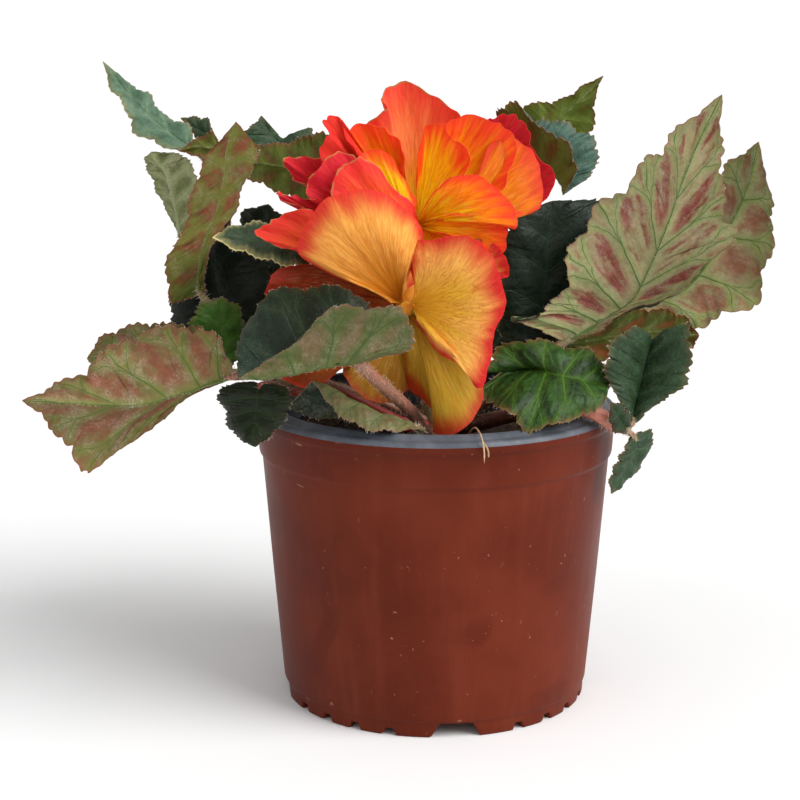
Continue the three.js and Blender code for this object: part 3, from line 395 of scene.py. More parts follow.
CRUMBS = 1500
GOLDEN = (1 + math.sqrt(5)) / 2
ICOSAHEDRON = np.array([
    (-1, GOLDEN, 0), (1, GOLDEN, 0), (-1, -GOLDEN, 0), (1, -GOLDEN, 0), (0, -1, GOLDEN),
    (0, 1, GOLDEN), (0, -1, -GOLDEN), (0, 1, -GOLDEN), (GOLDEN, 0, -1), (GOLDEN, 0, 1),
    (-GOLDEN, 0, -1), (-GOLDEN, 0, 1)]) / math.hypot(1, GOLDEN)
ICOSAHEDRON_FACES = np.array([
    (0, 11, 5), (0, 5, 1), (0, 1, 7), (0, 7, 10), (0, 10, 11), (1, 5, 9), (5, 11, 4), (11, 10, 2),
    (10, 7, 6), (7, 1, 8), (3, 9, 4), (3, 4, 2), (3, 2, 6), (3, 6, 8), (3, 8, 9), (4, 9, 5),
    (2, 4, 11), (6, 2, 10), (8, 6, 7), (9, 8, 1)])


def random_turns(draw, count):
    """Random rotations: the axes are two random directions made square to each other."""
    a = draw.normal(size=(count, 3))
    a /= np.linalg.norm(a, axis=1, keepdims=True)
    b = np.cross(a, draw.normal(size=(count, 3)))
    b /= np.linalg.norm(b, axis=1, keepdims=True)
    return np.stack([a, b, np.cross(a, b)], axis=1)


def soil_crumbs():
    """Each crumb is a twenty-faced lump: its corners times uneven half sizes, turned at random
    and sunk a third into the soil. r = radius * sqrt(draw) spreads them evenly."""
    draw = np.random.default_rng(21)
    r = (SOIL_RADIUS - 1.2) * np.sqrt(draw.uniform(0.03, 1, CRUMBS))
    a = draw.uniform(0, 2 * math.pi, CRUMBS)
    size = 0.35 + 1.25 * draw.power(0.45, CRUMBS)[:, None] ** 1.5
    half = size * draw.uniform(0.45, 1.0, (CRUMBS, 3)) * np.array([1.3, 0.9, 0.6])
    corners = len(ICOSAHEDRON)
    uneven = ICOSAHEDRON[None] * draw.uniform(0.75, 1.2, (CRUMBS, corners, 1))
    lumps = np.einsum("nij,njk->nik", uneven * half[:, None, :], random_turns(draw, CRUMBS))
    x, y = r * np.cos(a), r * np.sin(a)
    centre = np.stack([x, y, soil_height(x, y) + 0.35 * half[:, 2]], axis=-1)
    points = (lumps + centre[:, None, :]).reshape(-1, 3)
    faces = (ICOSAHEDRON_FACES[None] + corners * np.arange(CRUMBS)[:, None, None]).reshape(-1, 3)
    kinds = np.array([colour(38, 28, 21), colour(66, 48, 35), colour(98, 74, 52),
                      colour(150, 124, 94), colour(196, 190, 178)])
    kind = draw.choice(len(kinds), CRUMBS, p=[0.46, 0.3, 0.15, 0.06, 0.03])
    return points, faces, np.repeat(kinds[kind], corners, axis=0)


def grey(level):
    """An even grey in linear light."""
    return level, level, level, 1


def crumb_finish():
    """Each crumb keeps its own drawn colour, with painted shade in the low spots of its grain."""
    finish = Finish("soil crumbs")
    where = finish.place()
    grain = finish.noise(where, 1100, 3, 0.7)
    # Painted shade: where the grain's bump is low, the colour is darkened.
    shade = finish.blend(1.0, finish.read("tone", "Color"),
                         finish.blend(finish.span(grain, 0.3, 0.7), grey(0.55), grey(1.15)),
                         "MULTIPLY")
    finish.set(base_color=shade, roughness=0.95, normal=finish.bump(grain, 0.6, 0.0003))
    return finish.material


crumb_points, crumb_faces, crumb_tone = soil_crumbs()
crumbs = put_mesh("soil_crumbs", crumb_points, crumb_faces, [crumb_finish()],
                  attributes={"tone": crumb_tone}, sharp=35)
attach(crumbs, "root")

# ======================================================================================
# The leaves
# Lopsided, heart-based blades, each on its own stalk: waxy dark green above and pale green
# with dusty red between the veins below. The veins leave the rib towards the tip and fork,
# the blade bulges between them, and the margin is cut into rounded lobes with small teeth.
# ======================================================================================
LOBE_DEPTH = 1.7
TEETH = 4
TOOTH_DEPTH = 1.5
LEAF_CROWN = 0.06
LEAF_WAVE = 0.05
LEAF_CURL = 0.04
BLADE_HALF_THICKNESS = 0.2
QUILTING = 0.085
VEIN_LEAN = 0.6
LEAF_HAIR_RADIUS = 0.035
MARGIN_HAIRS_PER_MM = 1.1
RIB_HAIRS_PER_MM = 2

# Ground and painted glint, vein and line, blotch and strength, edge and strength.
LOOKS = {
    "dark green": ((26, 44, 28, 0.25), (52, 80, 44, 0.35), (40, 40, 24, 0.35), (92, 56, 40, 0.7)),
    "blue green": ((44, 60, 48, 0.7), (74, 96, 74, 0.3), (34, 56, 38, 0.4), (104, 84, 56, 0.6)),
    "black green": ((7, 14, 2, 0.1), (26, 42, 20, 0.25), (14, 18, 8, 0.3), (54, 46, 32, 0.5)),
    "shade green": ((15, 22, 3, 0.16), (38, 56, 28, 0.4), (26, 28, 12, 0.3), (64, 54, 34, 0.5)),
    "moss green": ((19, 32, 20, 0.14), (48, 66, 54, 0.25), (20, 30, 24, 0.3), (84, 74, 52, 0.6)),
    "bright green": ((13, 26, 8, 0.2), (84, 128, 40, 0.42), (58, 100, 34, 0.5), (128, 92, 56, 0.8)),
    "fresh green": ((54, 92, 26, 0.1), (76, 108, 46, 0.5), (50, 72, 26, 0.4), (112, 74, 40, 0.6)),
    "leaf blue": ((80, 108, 88, 0.35), (122, 146, 118, 0.35), (62, 88, 64, 0.4),
                  (150, 132, 84, 0.7)),
    "fold green": ((38, 56, 32, 0.5), (70, 100, 76, 0.25), (28, 46, 30, 0.4), (112, 84, 56, 0.7)),
    "yellow edged": ((46, 62, 44, 0.35), (74, 92, 60, 0.3), (50, 48, 34, 0.4), (214, 200, 136, 1)),
    "roll blue": ((56, 84, 76, 0.6), (88, 116, 94, 0.3), (44, 66, 44, 0.4), (120, 92, 60, 0.7)),
    "olive": ((74, 84, 36, 0.2), (104, 112, 56, 0.5), (108, 62, 34, 0.7), (116, 52, 40, 0.9)),
    "pale red": ((116, 102, 62, 0.28), (80, 98, 42, 0.9), (128, 64, 54, 0.75), (132, 72, 56, 0.8)),
    "grey red": ((186, 184, 136, 0.45), (88, 120, 60, 0.9), (152, 78, 72, 1), (150, 96, 72, 0.6)),
    "rosy": ((172, 168, 118, 0.32), (100, 128, 58, 0.9), (160, 84, 72, 0.8), (154, 96, 72, 0.6)),
    "grey green": ((132, 140, 92, 0.25), (72, 98, 50, 0.9), (140, 112, 82, 0.55),
                   (140, 100, 74, 0.7)),
    "front pale": ((92, 96, 52, 0.22), (70, 90, 48, 0.8), (144, 108, 88, 0.5), (150, 98, 80, 0.6)),
    "rim pale": ((100, 98, 64, 0.2), (80, 92, 54, 0.7), (124, 96, 70, 0.4), (140, 104, 78, 0.6)),
    "pale grey": ((110, 114, 72, 0.35), (150, 160, 120, 0.6), (96, 104, 60, 0.5),
                  (100, 88, 56, 0.5)),
    "olive red": ((118, 104, 48, 0.25), (112, 122, 54, 0.8), (150, 78, 56, 0.9),
                  (140, 62, 50, 0.9)),
    "brown green": ((70, 80, 18, 0.05), (98, 104, 44, 0.6), (104, 54, 22, 0.75),
                    (124, 64, 48, 0.9)),
    "deep olive": ((56, 64, 0, 0.04), (84, 96, 38, 0.6), (84, 44, 20, 0.6), (120, 62, 44, 0.8)),
    "rust olive": ((94, 98, 30, 0.08), (112, 116, 50, 0.6), (130, 70, 32, 0.7), (134, 72, 48, 0.9)),
    "yellow red": ((70, 76, 20, 0.06), (96, 108, 50, 0.6), (132, 66, 32, 0.8), (130, 54, 34, 0.9)),
    "green back": ((104, 124, 40, 0.08), (108, 122, 60, 0.6), (110, 74, 38, 0.6),
                   (120, 74, 44, 0.8)),
}


def a_leaf(name, top, under, stalk_radius, rows, tip, stalk, **more):
    """A leaf's measures in millimetres. Each row of nine numbers is one side vein's points on the
    left margin, the rib and the right margin, seen from above with the tip ahead. The stalk
    runs from the crown to the blade."""
    rows = np.array(rows, float).reshape(-1, 3, 3)
    return {"name": name, "top": top, "under": under, "stalk_radius": stalk_radius, "rows": rows,
            "tip": tip, "stalk": stalk, **more}


# The leaves in view were picked point by point in the photo, with a judged depth, and brought
# to half millimetres with the camera of the studio below. The last four were set one by one.
LEAVES = [
    a_leaf("leaf_low_left", "dark green", "pale red", 1.7, [
        (-71, -45, 131.5, -72.5, -42, 127.5, -75, -41, 125.5),
        (-75.5, -50, 144.5, -80, -43, 125.5, -91, -39, 117.5),
        (-94, -58, 150.5, -88.5, -47, 123, -108.5, -42, 103.5),
        (-113, -65, 141.5, -103, -54, 120.5, -124, -48, 96),
        (-127, -71, 132.5, -121, -64, 123, -132.5, -58, 112),
    ], (-138.5, -74, 126), [(-2, 0, 101), (-13, -6, 104), (-35, -20, 118), (-54, -30, 126),
       (-65, -36, 127)], lobes=3, stalk_tone=(160, 30, 30), blade_end=(150, 100, 84)),
    a_leaf("leaf_low_left_back", "fresh green", "pale red", 1.4, [
        (-74, -29, 130.5, -76.5, -27, 126.5, -79, -27, 123.5),
        (-82, -30, 143, -85.5, -28, 129, -88.5, -28, 119.5),
        (-95.5, -25, 145, -97, -24, 130, -100.5, -28, 116.5),
        (-109, -19, 143, -108.5, -20, 131.5, -111.5, -26, 117),
        (-121.5, -14, 137.5, -118, -16, 131.5, -121, -20, 121.5),
    ], (-127, -12, 128.5), [(-2, 1, 102), (-35, -12, 118), (-54, -23, 124), (-67, -26, 126)]),
    a_leaf("leaf_over_rim_left", "shade green", "rim pale", 1.6, [
        (-60, -41, 125, -61.5, -40, 124.5, -64.5, -39, 125.5),
        (-51.5, -45, 124.5, -62.5, -43, 122, -76, -36, 123.5),
        (-50.5, -47, 119.5, -63, -44, 118, -78, -34, 117),
        (-53, -47, 112.5, -63.5, -45, 113.5, -75.5, -36, 110),
        (-58.5, -47, 106.5, -64, -47, 109.5, -70.5, -41, 105),
    ], (-63.5, -48, 104), [(-2, -1, 100), (-17, -9, 103), (-40, -24, 115), (-52, -34, 121)],
       lobes=1.2, stalk_tone=(150, 34, 30), blade_end=(134, 64, 48)),
    a_leaf("leaf_front_fold", "blue green", "front pale", 2.5, [
        (-22.5, -61, 137, -27.5, -59, 135.5, -26, -57, 139),
        (-7.5, -72, 145.5, -30, -61, 136, -22.5, -52, 155),
        (-14.5, -76, 159, -35, -62, 135.5, -37, -50, 161.5),
        (-33.5, -75, 158.5, -44, -62, 134, -56, -48, 160),
        (-51.5, -69, 143.5, -56.5, -62, 131.5, -69.5, -50, 143.5),
    ], (-68, -61, 130.5), [(1, -3, 99), (-3, -29, 103), (-9, -38, 114), (-17, -49, 124),
       (-23, -56, 131)], lobes=1.5, stalk_tone=(150, 100, 84), blade_end=(140, 100, 80),
       # Painted shade: the top darkens towards the foot, where the petals shade it.
       top_foot="shade green", foot=(0.5, 0.95)),
    a_leaf("leaf_rim_front", "rim pale", "moss green", 1.3, [
        (-6, -49, 110.5, -7, -48, 111, -6.5, -46, 111.5),
        (-14, -61, 112.5, -14.5, -53, 115, -16.5, -46, 113),
        (-23.5, -63, 113, -23.5, -55, 119.5, -29, -46, 113),
        (-33.5, -58, 116.5, -31.5, -53, 123, -43, -44, 114),
        (-39, -52, 121.5, -38, -49, 126, -52.5, -43, 117),
    ], (-43.5, -46, 127), [(1, -4, 99), (-2, -28, 100), (-3, -38, 105)], lobes=1.2),
    a_leaf("leaf_glossy_right", "bright green", "rust olive", 1.6, [
        (28, -28, 130.5, 31, -26, 129, 28, -30, 128.5),
        (16, -36, 128.5, 33, -29, 128.5, 15, -40, 122),
        (22, -32, 138, 36.5, -34, 128.5, 21, -52, 118.5),
        (38, -29, 139, 41.5, -38, 128, 30.5, -58, 112),
        (52.5, -27, 135.5, 48, -39, 126.5, 44, -52, 113.5),
        (60, -26, 130.5, 55, -34, 124, 56.5, -45, 117),
    ], (62, -27, 122), [(4, -2, 101), (13, -6, 107), (25, -16, 118)], wave=0.09),
    a_leaf("leaf_right_fold", "fold green", "grey green", 1.3, [
        (69, -27, 108.5, 70, -26, 107.5, 72, -26, 108),
        (63, -33, 119.5, 71, -24, 113.5, 80, -29, 116),
        (58.5, -36, 129.5, 73.5, -20, 120.5, 88.5, -30, 122),
        (61, -36, 138, 75, -18, 126.5, 91, -27, 131.5),
        (69.5, -31, 144, 76.5, -17, 132.5, 89.5, -22, 144),
    ], (77.5, -17, 136.5), [(64, -32, 108), (67, -29, 107)]),
    a_leaf("leaf_right_hanging", "fold green", "grey green", 1.2, [
        (72, -25, 104, 70.5, -26, 103, 69, -27, 102.5),
        (78, -22, 105, 71.5, -28, 100.5, 66.5, -32, 100.5),
        (78.5, -22, 98, 70.5, -29, 96, 64.5, -34, 97.5),
        (73, -23, 89.5, 67.5, -30, 91.5, 62.5, -35, 94),
        (68, -26, 85, 65, -31, 86.5, 61, -34, 88),
    ], (62.5, -32, 83), [(64, -32, 107), (68, -29, 105)]),
    a_leaf("leaf_right_stipule", "dark green", "green back", 1, [
        (67, -37, 106, 67.5, -37, 107, 68.5, -37, 108.5),
        (61.5, -42, 107.5, 64, -41, 112, 67.5, -39, 114.5),
        (59.5, -44, 112.5, 62, -43, 115.5, 64.5, -40, 118),
    ], (60, -44, 119), [(63, -35, 108), (65, -36, 107)]),
    a_leaf("leaf_big_right", "dark green", "grey red", 2, [
        (52, 20, 129, 50.5, 20, 129.5, 48.5, 19, 129.5),
        (62.5, 18, 133.5, 59, 20, 134.5, 27, 10, 140),
        (77, 13, 143.5, 67, 20, 139.5, 42.5, 15, 144.5),
        (93.5, 3, 151.5, 75, 18, 146, 47.5, 13, 165),
        (108.5, -8, 173, 80.5, 13, 159.5, 59, 9, 184.5),
        (103.5, -15, 190, 85.5, 6, 175.5, 75, 1, 200),
        (101.5, -20, 207, 91.5, -6, 200.5, 84, -9, 212),
    ], (98.5, -24, 224), [(6, 3, 103), (24, 8, 114), (40, 16, 124)], lobes=5.5),
    a_leaf("leaf_far_right", "dark green", "rosy", 1.7, [
        (79.5, 33, 136, 78, 36, 140, 77.5, 38, 144),
        (102, 28, 132, 97, 36, 147, 91, 42, 156.5),
        (122.5, 23, 142, 107.5, 33, 161.5, 99, 42, 171),
        (128.5, 18, 164.5, 114.5, 29, 176.5, 104, 40, 184.5),
        (125.5, 15, 184, 118, 23, 190, 111.5, 34, 196.5),
    ], (119, 14, 205), [(6, 5, 104), (33, 24, 115), (61, 36, 128)], lobes=5),
    a_leaf("leaf_right_under", "dark green", "yellow red", 1.3, [
        (49, 25, 125, 47.5, 26, 126.5, 49, 27, 128.5),
        (59.5, 21, 120.5, 59, 26, 128, 60.5, 29, 136),
        (74.5, 19, 122, 73, 25, 131, 76, 30, 140.5),
        (87.5, 19, 125, 85.5, 24, 132, 88.5, 29, 140.5),
        (97.5, 17, 126.5, 94, 21, 131.5, 96.5, 25, 138),
    ], (100, 17, 132), [(6, 4, 103), (31, 18, 113), (41, 24, 121)]),
    a_leaf("leaf_dark_right", "moss green", "grey green", 1.6, [
        (36, 19, 126.5, 38, 20, 126.5, 45.5, 21.5, 125.5),
        (24.5, 19, 132.5, 40.5, 23.5, 136, 57.5, 23.5, 133.5),
        (24.5, 17, 149.5, 42, 24, 150, 62, 31, 151),
        (24.5, 16, 166, 42.5, 22, 163, 67.5, 31, 171),
        (28, 18, 177.5, 43.5, 23, 173, 63, 31, 182.5),
    ], (44, 25, 182), [(6, 4, 104), (21, 12, 114), (32, 17, 122)]),
    a_leaf("leaf_top_right_roll", "roll blue", "rust olive", 1.6, [
        (30.5, 33, 204, 27.5, 30, 200.5, 24.5, 26, 204.5),
        (40, 35, 213, 32, 30, 199, 22.5, 21, 217),
        (50.5, 35, 211, 37.5, 29, 197, 28.5, 18, 220),
        (60, 33, 207, 42, 27, 194, 39, 16, 212.5),
        (63, 31, 197, 46, 25, 190.5, 50, 16, 203.5),
        (58, 27, 190.5, 48, 24, 187.5, 53, 18, 195.5),
    ], (48, 22, 184.5), [(-7, 20, 148), (2, 24, 155), (13, 27, 175), (23, 30, 193)]),
    a_leaf("leaf_top_right_back", "olive", "green back", 1.5, [
        (36, 52, 196, 33.5, 52, 199, 30.5, 52, 201.5),
        (44, 49, 194.5, 39, 50, 204, 28.5, 52, 214.5),
        (54.5, 47, 199.5, 45.5, 48, 209, 39, 50, 218),
        (62, 45, 208.5, 52, 46, 215, 49, 48, 219.5),
        (62, 42, 221, 58.5, 43, 221.5, 56.5, 44, 224.5),
    ], (64, 40, 228), [(-7, 20, 148), (4, 27, 154), (16, 38, 171), (28, 49, 190)]),
    a_leaf("leaf_top_left", "leaf blue", "grey green", 1.6, [
        (-91.5, 29, 199.5, -90, 30, 200, -89.5, 31, 202),
        (-101, 27, 201.5, -97, 32, 204.5, -93, 38, 210),
        (-113.5, 29, 206.5, -106, 36, 210.5, -103.5, 43, 214),
        (-118, 34, 217, -112.5, 40, 216.5, -109, 47, 221.5),
        (-124, 41, 223.5, -120, 45, 224.5, -118.5, 50, 226),
    ], (-127.5, 51, 233), [(-5, 16, 130), (-51, 21, 144), (-70, 23, 158), (-78, 21, 171),
       (-84, 26, 193)], lobes=4.5),
    a_leaf("leaf_top_left_small", "fold green", "brown green", 1.1, [
        (-85, 43, 203.5, -84.5, 43, 204.5, -84.5, 43, 206),
        (-91, 44, 202.5, -89, 46, 206.5, -87, 48, 212),
        (-95, 47, 208, -93.5, 48, 208.5, -92.5, 50, 212.5),
    ], (-98, 50, 211.5), [(-78, 21, 171), (-80, 36, 190)]),
    a_leaf("leaf_brown_left", "olive", "brown green", 1.1, [
        (-78.5, 20, 202, -78, 19, 200, -78.5, 18, 198),
        (-83, 22, 208.5, -84, 20, 202, -85.5, 18, 197.5),
        (-89.5, 23, 205.5, -89.5, 21, 202.5, -90.5, 20, 199),
    ], (-96, 22, 201), [(-78, 21, 171), (-77, 20, 187)]),
    a_leaf("leaf_left_pale", "blue green", "pale grey", 1.3, [
        (-93.5, 18, 171, -95, 19, 169, -96.5, 20, 170.5),
        (-88, 12, 180, -96.5, 19, 177.5, -101.5, 25, 178),
        (-87, 10, 189.5, -98.5, 20, 186, -105.5, 29, 185.5),
        (-89, 13, 198, -101, 23, 193, -109, 32, 192.5),
        (-96.5, 21, 200.5, -105, 28, 197, -110.5, 33, 197.5),
    ], (-107, 31, 200), [(-70, 23, 158), (-83, 22, 162)]),
    a_leaf("leaf_left_tall", "dark green", "olive red", 1.7, [
        (-83.5, -9, 152.5, -86, -8, 152.5, -88, -6, 150),
        (-83, -11, 161.5, -85.5, -8, 161, -97, -1, 147),
        (-78.5, -13, 172, -83, -8, 171.5, -99.5, 0, 160),
        (-70, -17, 184, -78, -9, 183, -93.5, 1, 171.5),
        (-66.5, -20, 194.5, -75.5, -10, 194, -89.5, 1, 185),
        (-61, -21, 204, -74.5, -12, 204, -83.5, -3, 200.5),
    ], (-71, -15, 214), [(-3, 3, 104), (-32, 2, 111), (-54, 0, 123), (-72, -4, 137),
       # Painted shade: the underside darkens towards the foot, where leaves in front shade it.
       (-81, -7, 146)], under_foot="deep olive", foot=(0.08, 0.42)),
    a_leaf("leaf_behind_left", "dark green", "deep olive", 1.5, [
        (-31, 17, 194.5, -31.5, 15, 192.5, -31.5, 14, 190.5),
        (-41, 23, 208, -41, 14, 193.5, -41, 9, 181),
        (-50.5, 23, 206, -50, 13, 194.5, -49, 7, 182.5),
        (-59.5, 21, 204, -59.5, 12, 196, -58.5, 7, 186),
        (-68, 18, 203.5, -67.5, 11, 197.5, -68.5, 8, 191),
    ], (-75, 11, 196.5), [(-7, 20, 148), (-13, 23, 156), (-23, 23, 177), (-28, 19, 187)]),
    a_leaf("leaf_top_mid", "fold green", "grey green", 1.4, [
        (-49.5, 34, 191, -48, 34, 192, -46.5, 34, 193),
        (-62.5, 31, 195, -54.5, 36, 197, -42, 39, 200),
        (-70, 31, 200.5, -58, 37, 201.5, -47.5, 42, 208.5),
        (-74, 33, 206.5, -61.5, 38, 205, -55.5, 40, 203),
        (-70, 36, 209.5, -64, 39, 208.5, -60, 40, 206.5),
    ], (-66, 40, 213), [(-7, 20, 148), (-15, 24, 158), (-34, 32, 180), (-43, 35, 188)]),
    a_leaf("leaf_yellow_edge", "yellow edged", "grey green", 1.3, [
        (-42, -20, 166.5, -42.5, -19, 167.5, -42.5, -18, 168.5),
        (-46.5, -26, 163, -48, -22, 169.5, -47, -15, 175.5),
        (-54, -29, 164.5, -54.5, -24, 171.5, -55, -15, 179.5),
        (-63, -29, 167, -62.5, -25, 173, -64.5, -17, 179.5),
        (-72, -29, 170.5, -71, -26, 174, -73.5, -21, 178.5),
    ], (-79, -27, 174.5), [(-5, 14, 124), (-17, 8, 147), (-31, -2, 157)], lobes=1.5),
    a_leaf("leaf_left_back", "shade green", "shade green", 1.4, [
        (-65, 17, 148.5, -64, 16, 149.5, -62.5, 15, 149),
        (-75, 17, 157, -64, 15, 160, -53.5, 11, 158.5),
        (-75, 15, 169, -64.5, 11, 169, -51.5, 7, 169.5),
        (-72, 11, 180, -64, 8, 176, -55, 4, 178.5),
    ], (-61.5, 4, 183), [(-3, 9, 110), (-25, 12, 120), (-51, 15, 136)]),
    a_leaf("leaf_left_dark", "black green", "grey green", 1.5, [
        (-81.5, 6, 135, -75.5, 4, 136.5, -68.5, 3, 137),
        (-99, 8, 136.5, -79, 4, 145.5, -61.5, -1, 142.5),
        (-100, 10, 146.5, -82, 6, 155.5, -61, 0, 159.5),
        (-96.5, 11, 160.5, -83.5, 8, 165, -65.5, 3, 170.5),
        (-90.5, 8, 171, -82.5, 7, 171.5, -72.5, 5, 175),
    ], (-84.5, 7, 176), [(-3, 5, 104), (-39, 8, 115), (-62, 7, 127)]),
    a_leaf("leaf_left_green", "fresh green", "grey green", 1.4, [
        (-78, -17, 125, -77, -16, 124.5, -76, -15, 124.5),
        (-86.5, -20, 133, -77, -16, 131.5, -68, -11, 131),
        (-89, -22, 142.5, -77.5, -17, 138.5, -67.5, -11, 139.5),
        (-85, -21, 150, -77.5, -18, 145, -71, -13, 148.5),
    ], (-77, -18, 152), [(-2, 2, 102), (-43, -8, 116), (-64, -14, 122)]),
    a_leaf("leaf_back_left", "dark green", "pale red", 1.6, [
        (-15.5, 31, 121, -14, 32, 120, -13, 34, 120),
        (-38, 36, 134, -26, 43, 130, -14, 56, 130),
        (-56, 44, 144, -40, 56, 138, -26, 74, 136),
        (-70, 60, 146, -55, 70, 141, -44, 86, 134),
        (-78, 78, 142, -69, 82, 139, -62, 92, 132),
    ], (-80, 92, 132), [(-3, 7, 104), (-8, 20, 113)]),
    a_leaf("leaf_back_mid_left", "dark green", "grey red", 1.5, [
        (-7.5, 33, 129, -6, 34, 128, -4.5, 35, 129),
        (-22, 40, 146, -11, 46, 140, 4, 50, 148),
        (-34, 54, 158, -17, 60, 149, 2, 67, 156),
        (-40, 72, 160, -23, 76, 152, -6, 83, 156),
        (-38, 90, 154, -29, 91, 150, -20, 96, 150),
    ], (-34, 104, 144), [(-5, 16, 124), (-5, 26, 126)]),
    a_leaf("leaf_back_mid_right", "dark green", "grey green", 1.6, [
        (6.5, 35, 127, 8, 34, 126, 9.5, 33, 127),
        (6, 50, 134, 15, 45, 136, 28, 40, 142),
        (12, 68, 144, 24, 58, 145, 42, 50, 152),
        (20, 84, 150, 32, 72, 150, 52, 64, 156),
        (32, 96, 152, 39, 87, 152, 52, 82, 154),
    ], (45, 100, 148), [(3, 5, 98), (5, 13, 108), (7, 24, 119)]),
    a_leaf("leaf_back_right", "dark green", "grey red", 1.6, [
        (15, 33.5, 118.5, 16, 32, 118, 17.5, 31, 118.5),
        (14, 54, 124, 28, 47, 127, 44, 42, 130),
        (22, 76, 128, 40, 62, 133, 60, 52, 134),
        (36, 94, 130, 52, 77, 134, 72, 66, 134),
        (54, 104, 128, 63, 91, 131, 78, 84, 130),
    ], (74, 104, 124), [(5, 7, 104), (12, 21, 113)]),
]


def curve(points, share):
    """A smooth curve through the points (uniform Catmull-Rom), share 0 to 1 along it:
    with u the place between points 1 and 2 of four neighbours a, b, c, d,
    p = (2b + (c - a)u + (2a - 5b + 4c - d)u² + (3b - a - 3c + d)u³) / 2."""
    points = np.asarray(points, float)
    ends = np.vstack([2 * points[0] - points[1], points, 2 * points[-1] - points[-2]])
    along = np.clip(np.asarray(share, float), 0, 1) * (len(points) - 1)
    first = np.minimum(along.astype(int), len(points) - 2)
    u = (along - first)[..., None]
    a, b, c, d = (ends[first + k] for k in range(4))
    return (2 * b + (c - a) * u + (2 * a - 5 * b + 4 * c - d) * u ** 2
            + (3 * b - a - 3 * c + d) * u ** 3) / 2


def crowded(count, pull):
    """Shares from 0 to 1 that lie closer together at both ends: t - pull sin(2 pi t) / (2 pi)."""
    t = np.linspace(0, 1, count, endpoint=False)
    return t - pull * np.sin(2 * math.pi * t) / (2 * math.pi)


def leaning(vein, out):
    """The side veins' own count: v + lean (1 - |a|)^1.4, so that each of them leaves the rib
    before the point it reaches on the margin, and runs ahead to it in a bow."""
    return vein + VEIN_LEAN * (1 - out) ** 1.4


def smooth_step(low, high, x):
    """0 below low, 1 above high, and 3u² - 2u³ between them with u the share of the way."""
    u = np.clip((x - low) / (high - low), 0, 1)
    return u * u * (3 - 2 * u)


def margin_reach(vein, half_length, lobes, draw):
    """How much of the way to the smooth margin the blade reaches. Each vein ends in a rounded
    lobe: the margin stays lobes (1 - |cos(pi v')|^0.5) millimetres short, at most 0.25 of the
    way, with v' = v + 0.1 sin(2 pi v) leaning ahead. On it sit rounded teeth with sharp cuts
    between them, short by depth |2 t^0.75 - 1|^1.7 at the place t along a tooth, with a drawn
    depth for each."""
    lean = vein + 0.1 * np.sin(2 * math.pi * vein)
    half_length = np.maximum(half_length, 4)
    large = np.minimum(lobes / half_length, 0.25) * (1 - np.abs(np.cos(math.pi * lean)) ** 0.5)
    depth = TOOTH_DEPTH * draw.uniform(0.4, 1.3, int(vein[-1] * TEETH) + 1)
    along = np.mod(vein * TEETH, 1.0) ** 0.75
    cut = depth[(vein * TEETH).astype(int)] * np.abs(2 * along - 1) ** 1.7
    return 1 - large * smooth_step(0, 0.5, vein) - np.minimum(cut / half_length, 0.07)


def unit(vectors):
    """Each vector over its own length."""
    return vectors / np.maximum(np.linalg.norm(vectors, axis=-1, keepdims=True), 1e-9)


def grid_normals(points):
    """Cross product of the steps along the columns and along the rows, of length one."""
    down, across = np.gradient(points, axis=0), np.gradient(points, axis=1)
    return unit(np.cross(across, down))


def closed_skin(top, bottom):
    """Two grids of equal size as one closed skin: the top, the bottom turned over, and a wall
    between their edges."""
    rows, columns = top.shape[:2]
    size = rows * columns
    upper = grid_faces(rows, columns)
    lower = upper[:, ::-1] + size
    number = np.arange(size).reshape(rows, columns)
    rim = np.concatenate([number[0, :-1], number[:-1, -1], number[-1, :0:-1], number[:0:-1, 0]])
    after = np.roll(rim, -1)
    wall = np.stack([after, rim, rim + size, after + size], axis=-1)
    points = np.concatenate([top.reshape(-1, 3), bottom.reshape(-1, 3)])
    faces = np.concatenate([upper, lower, wall])
    side = np.repeat([0, 1, 1], [len(upper), len(lower), len(wall)])
    return points, faces, side


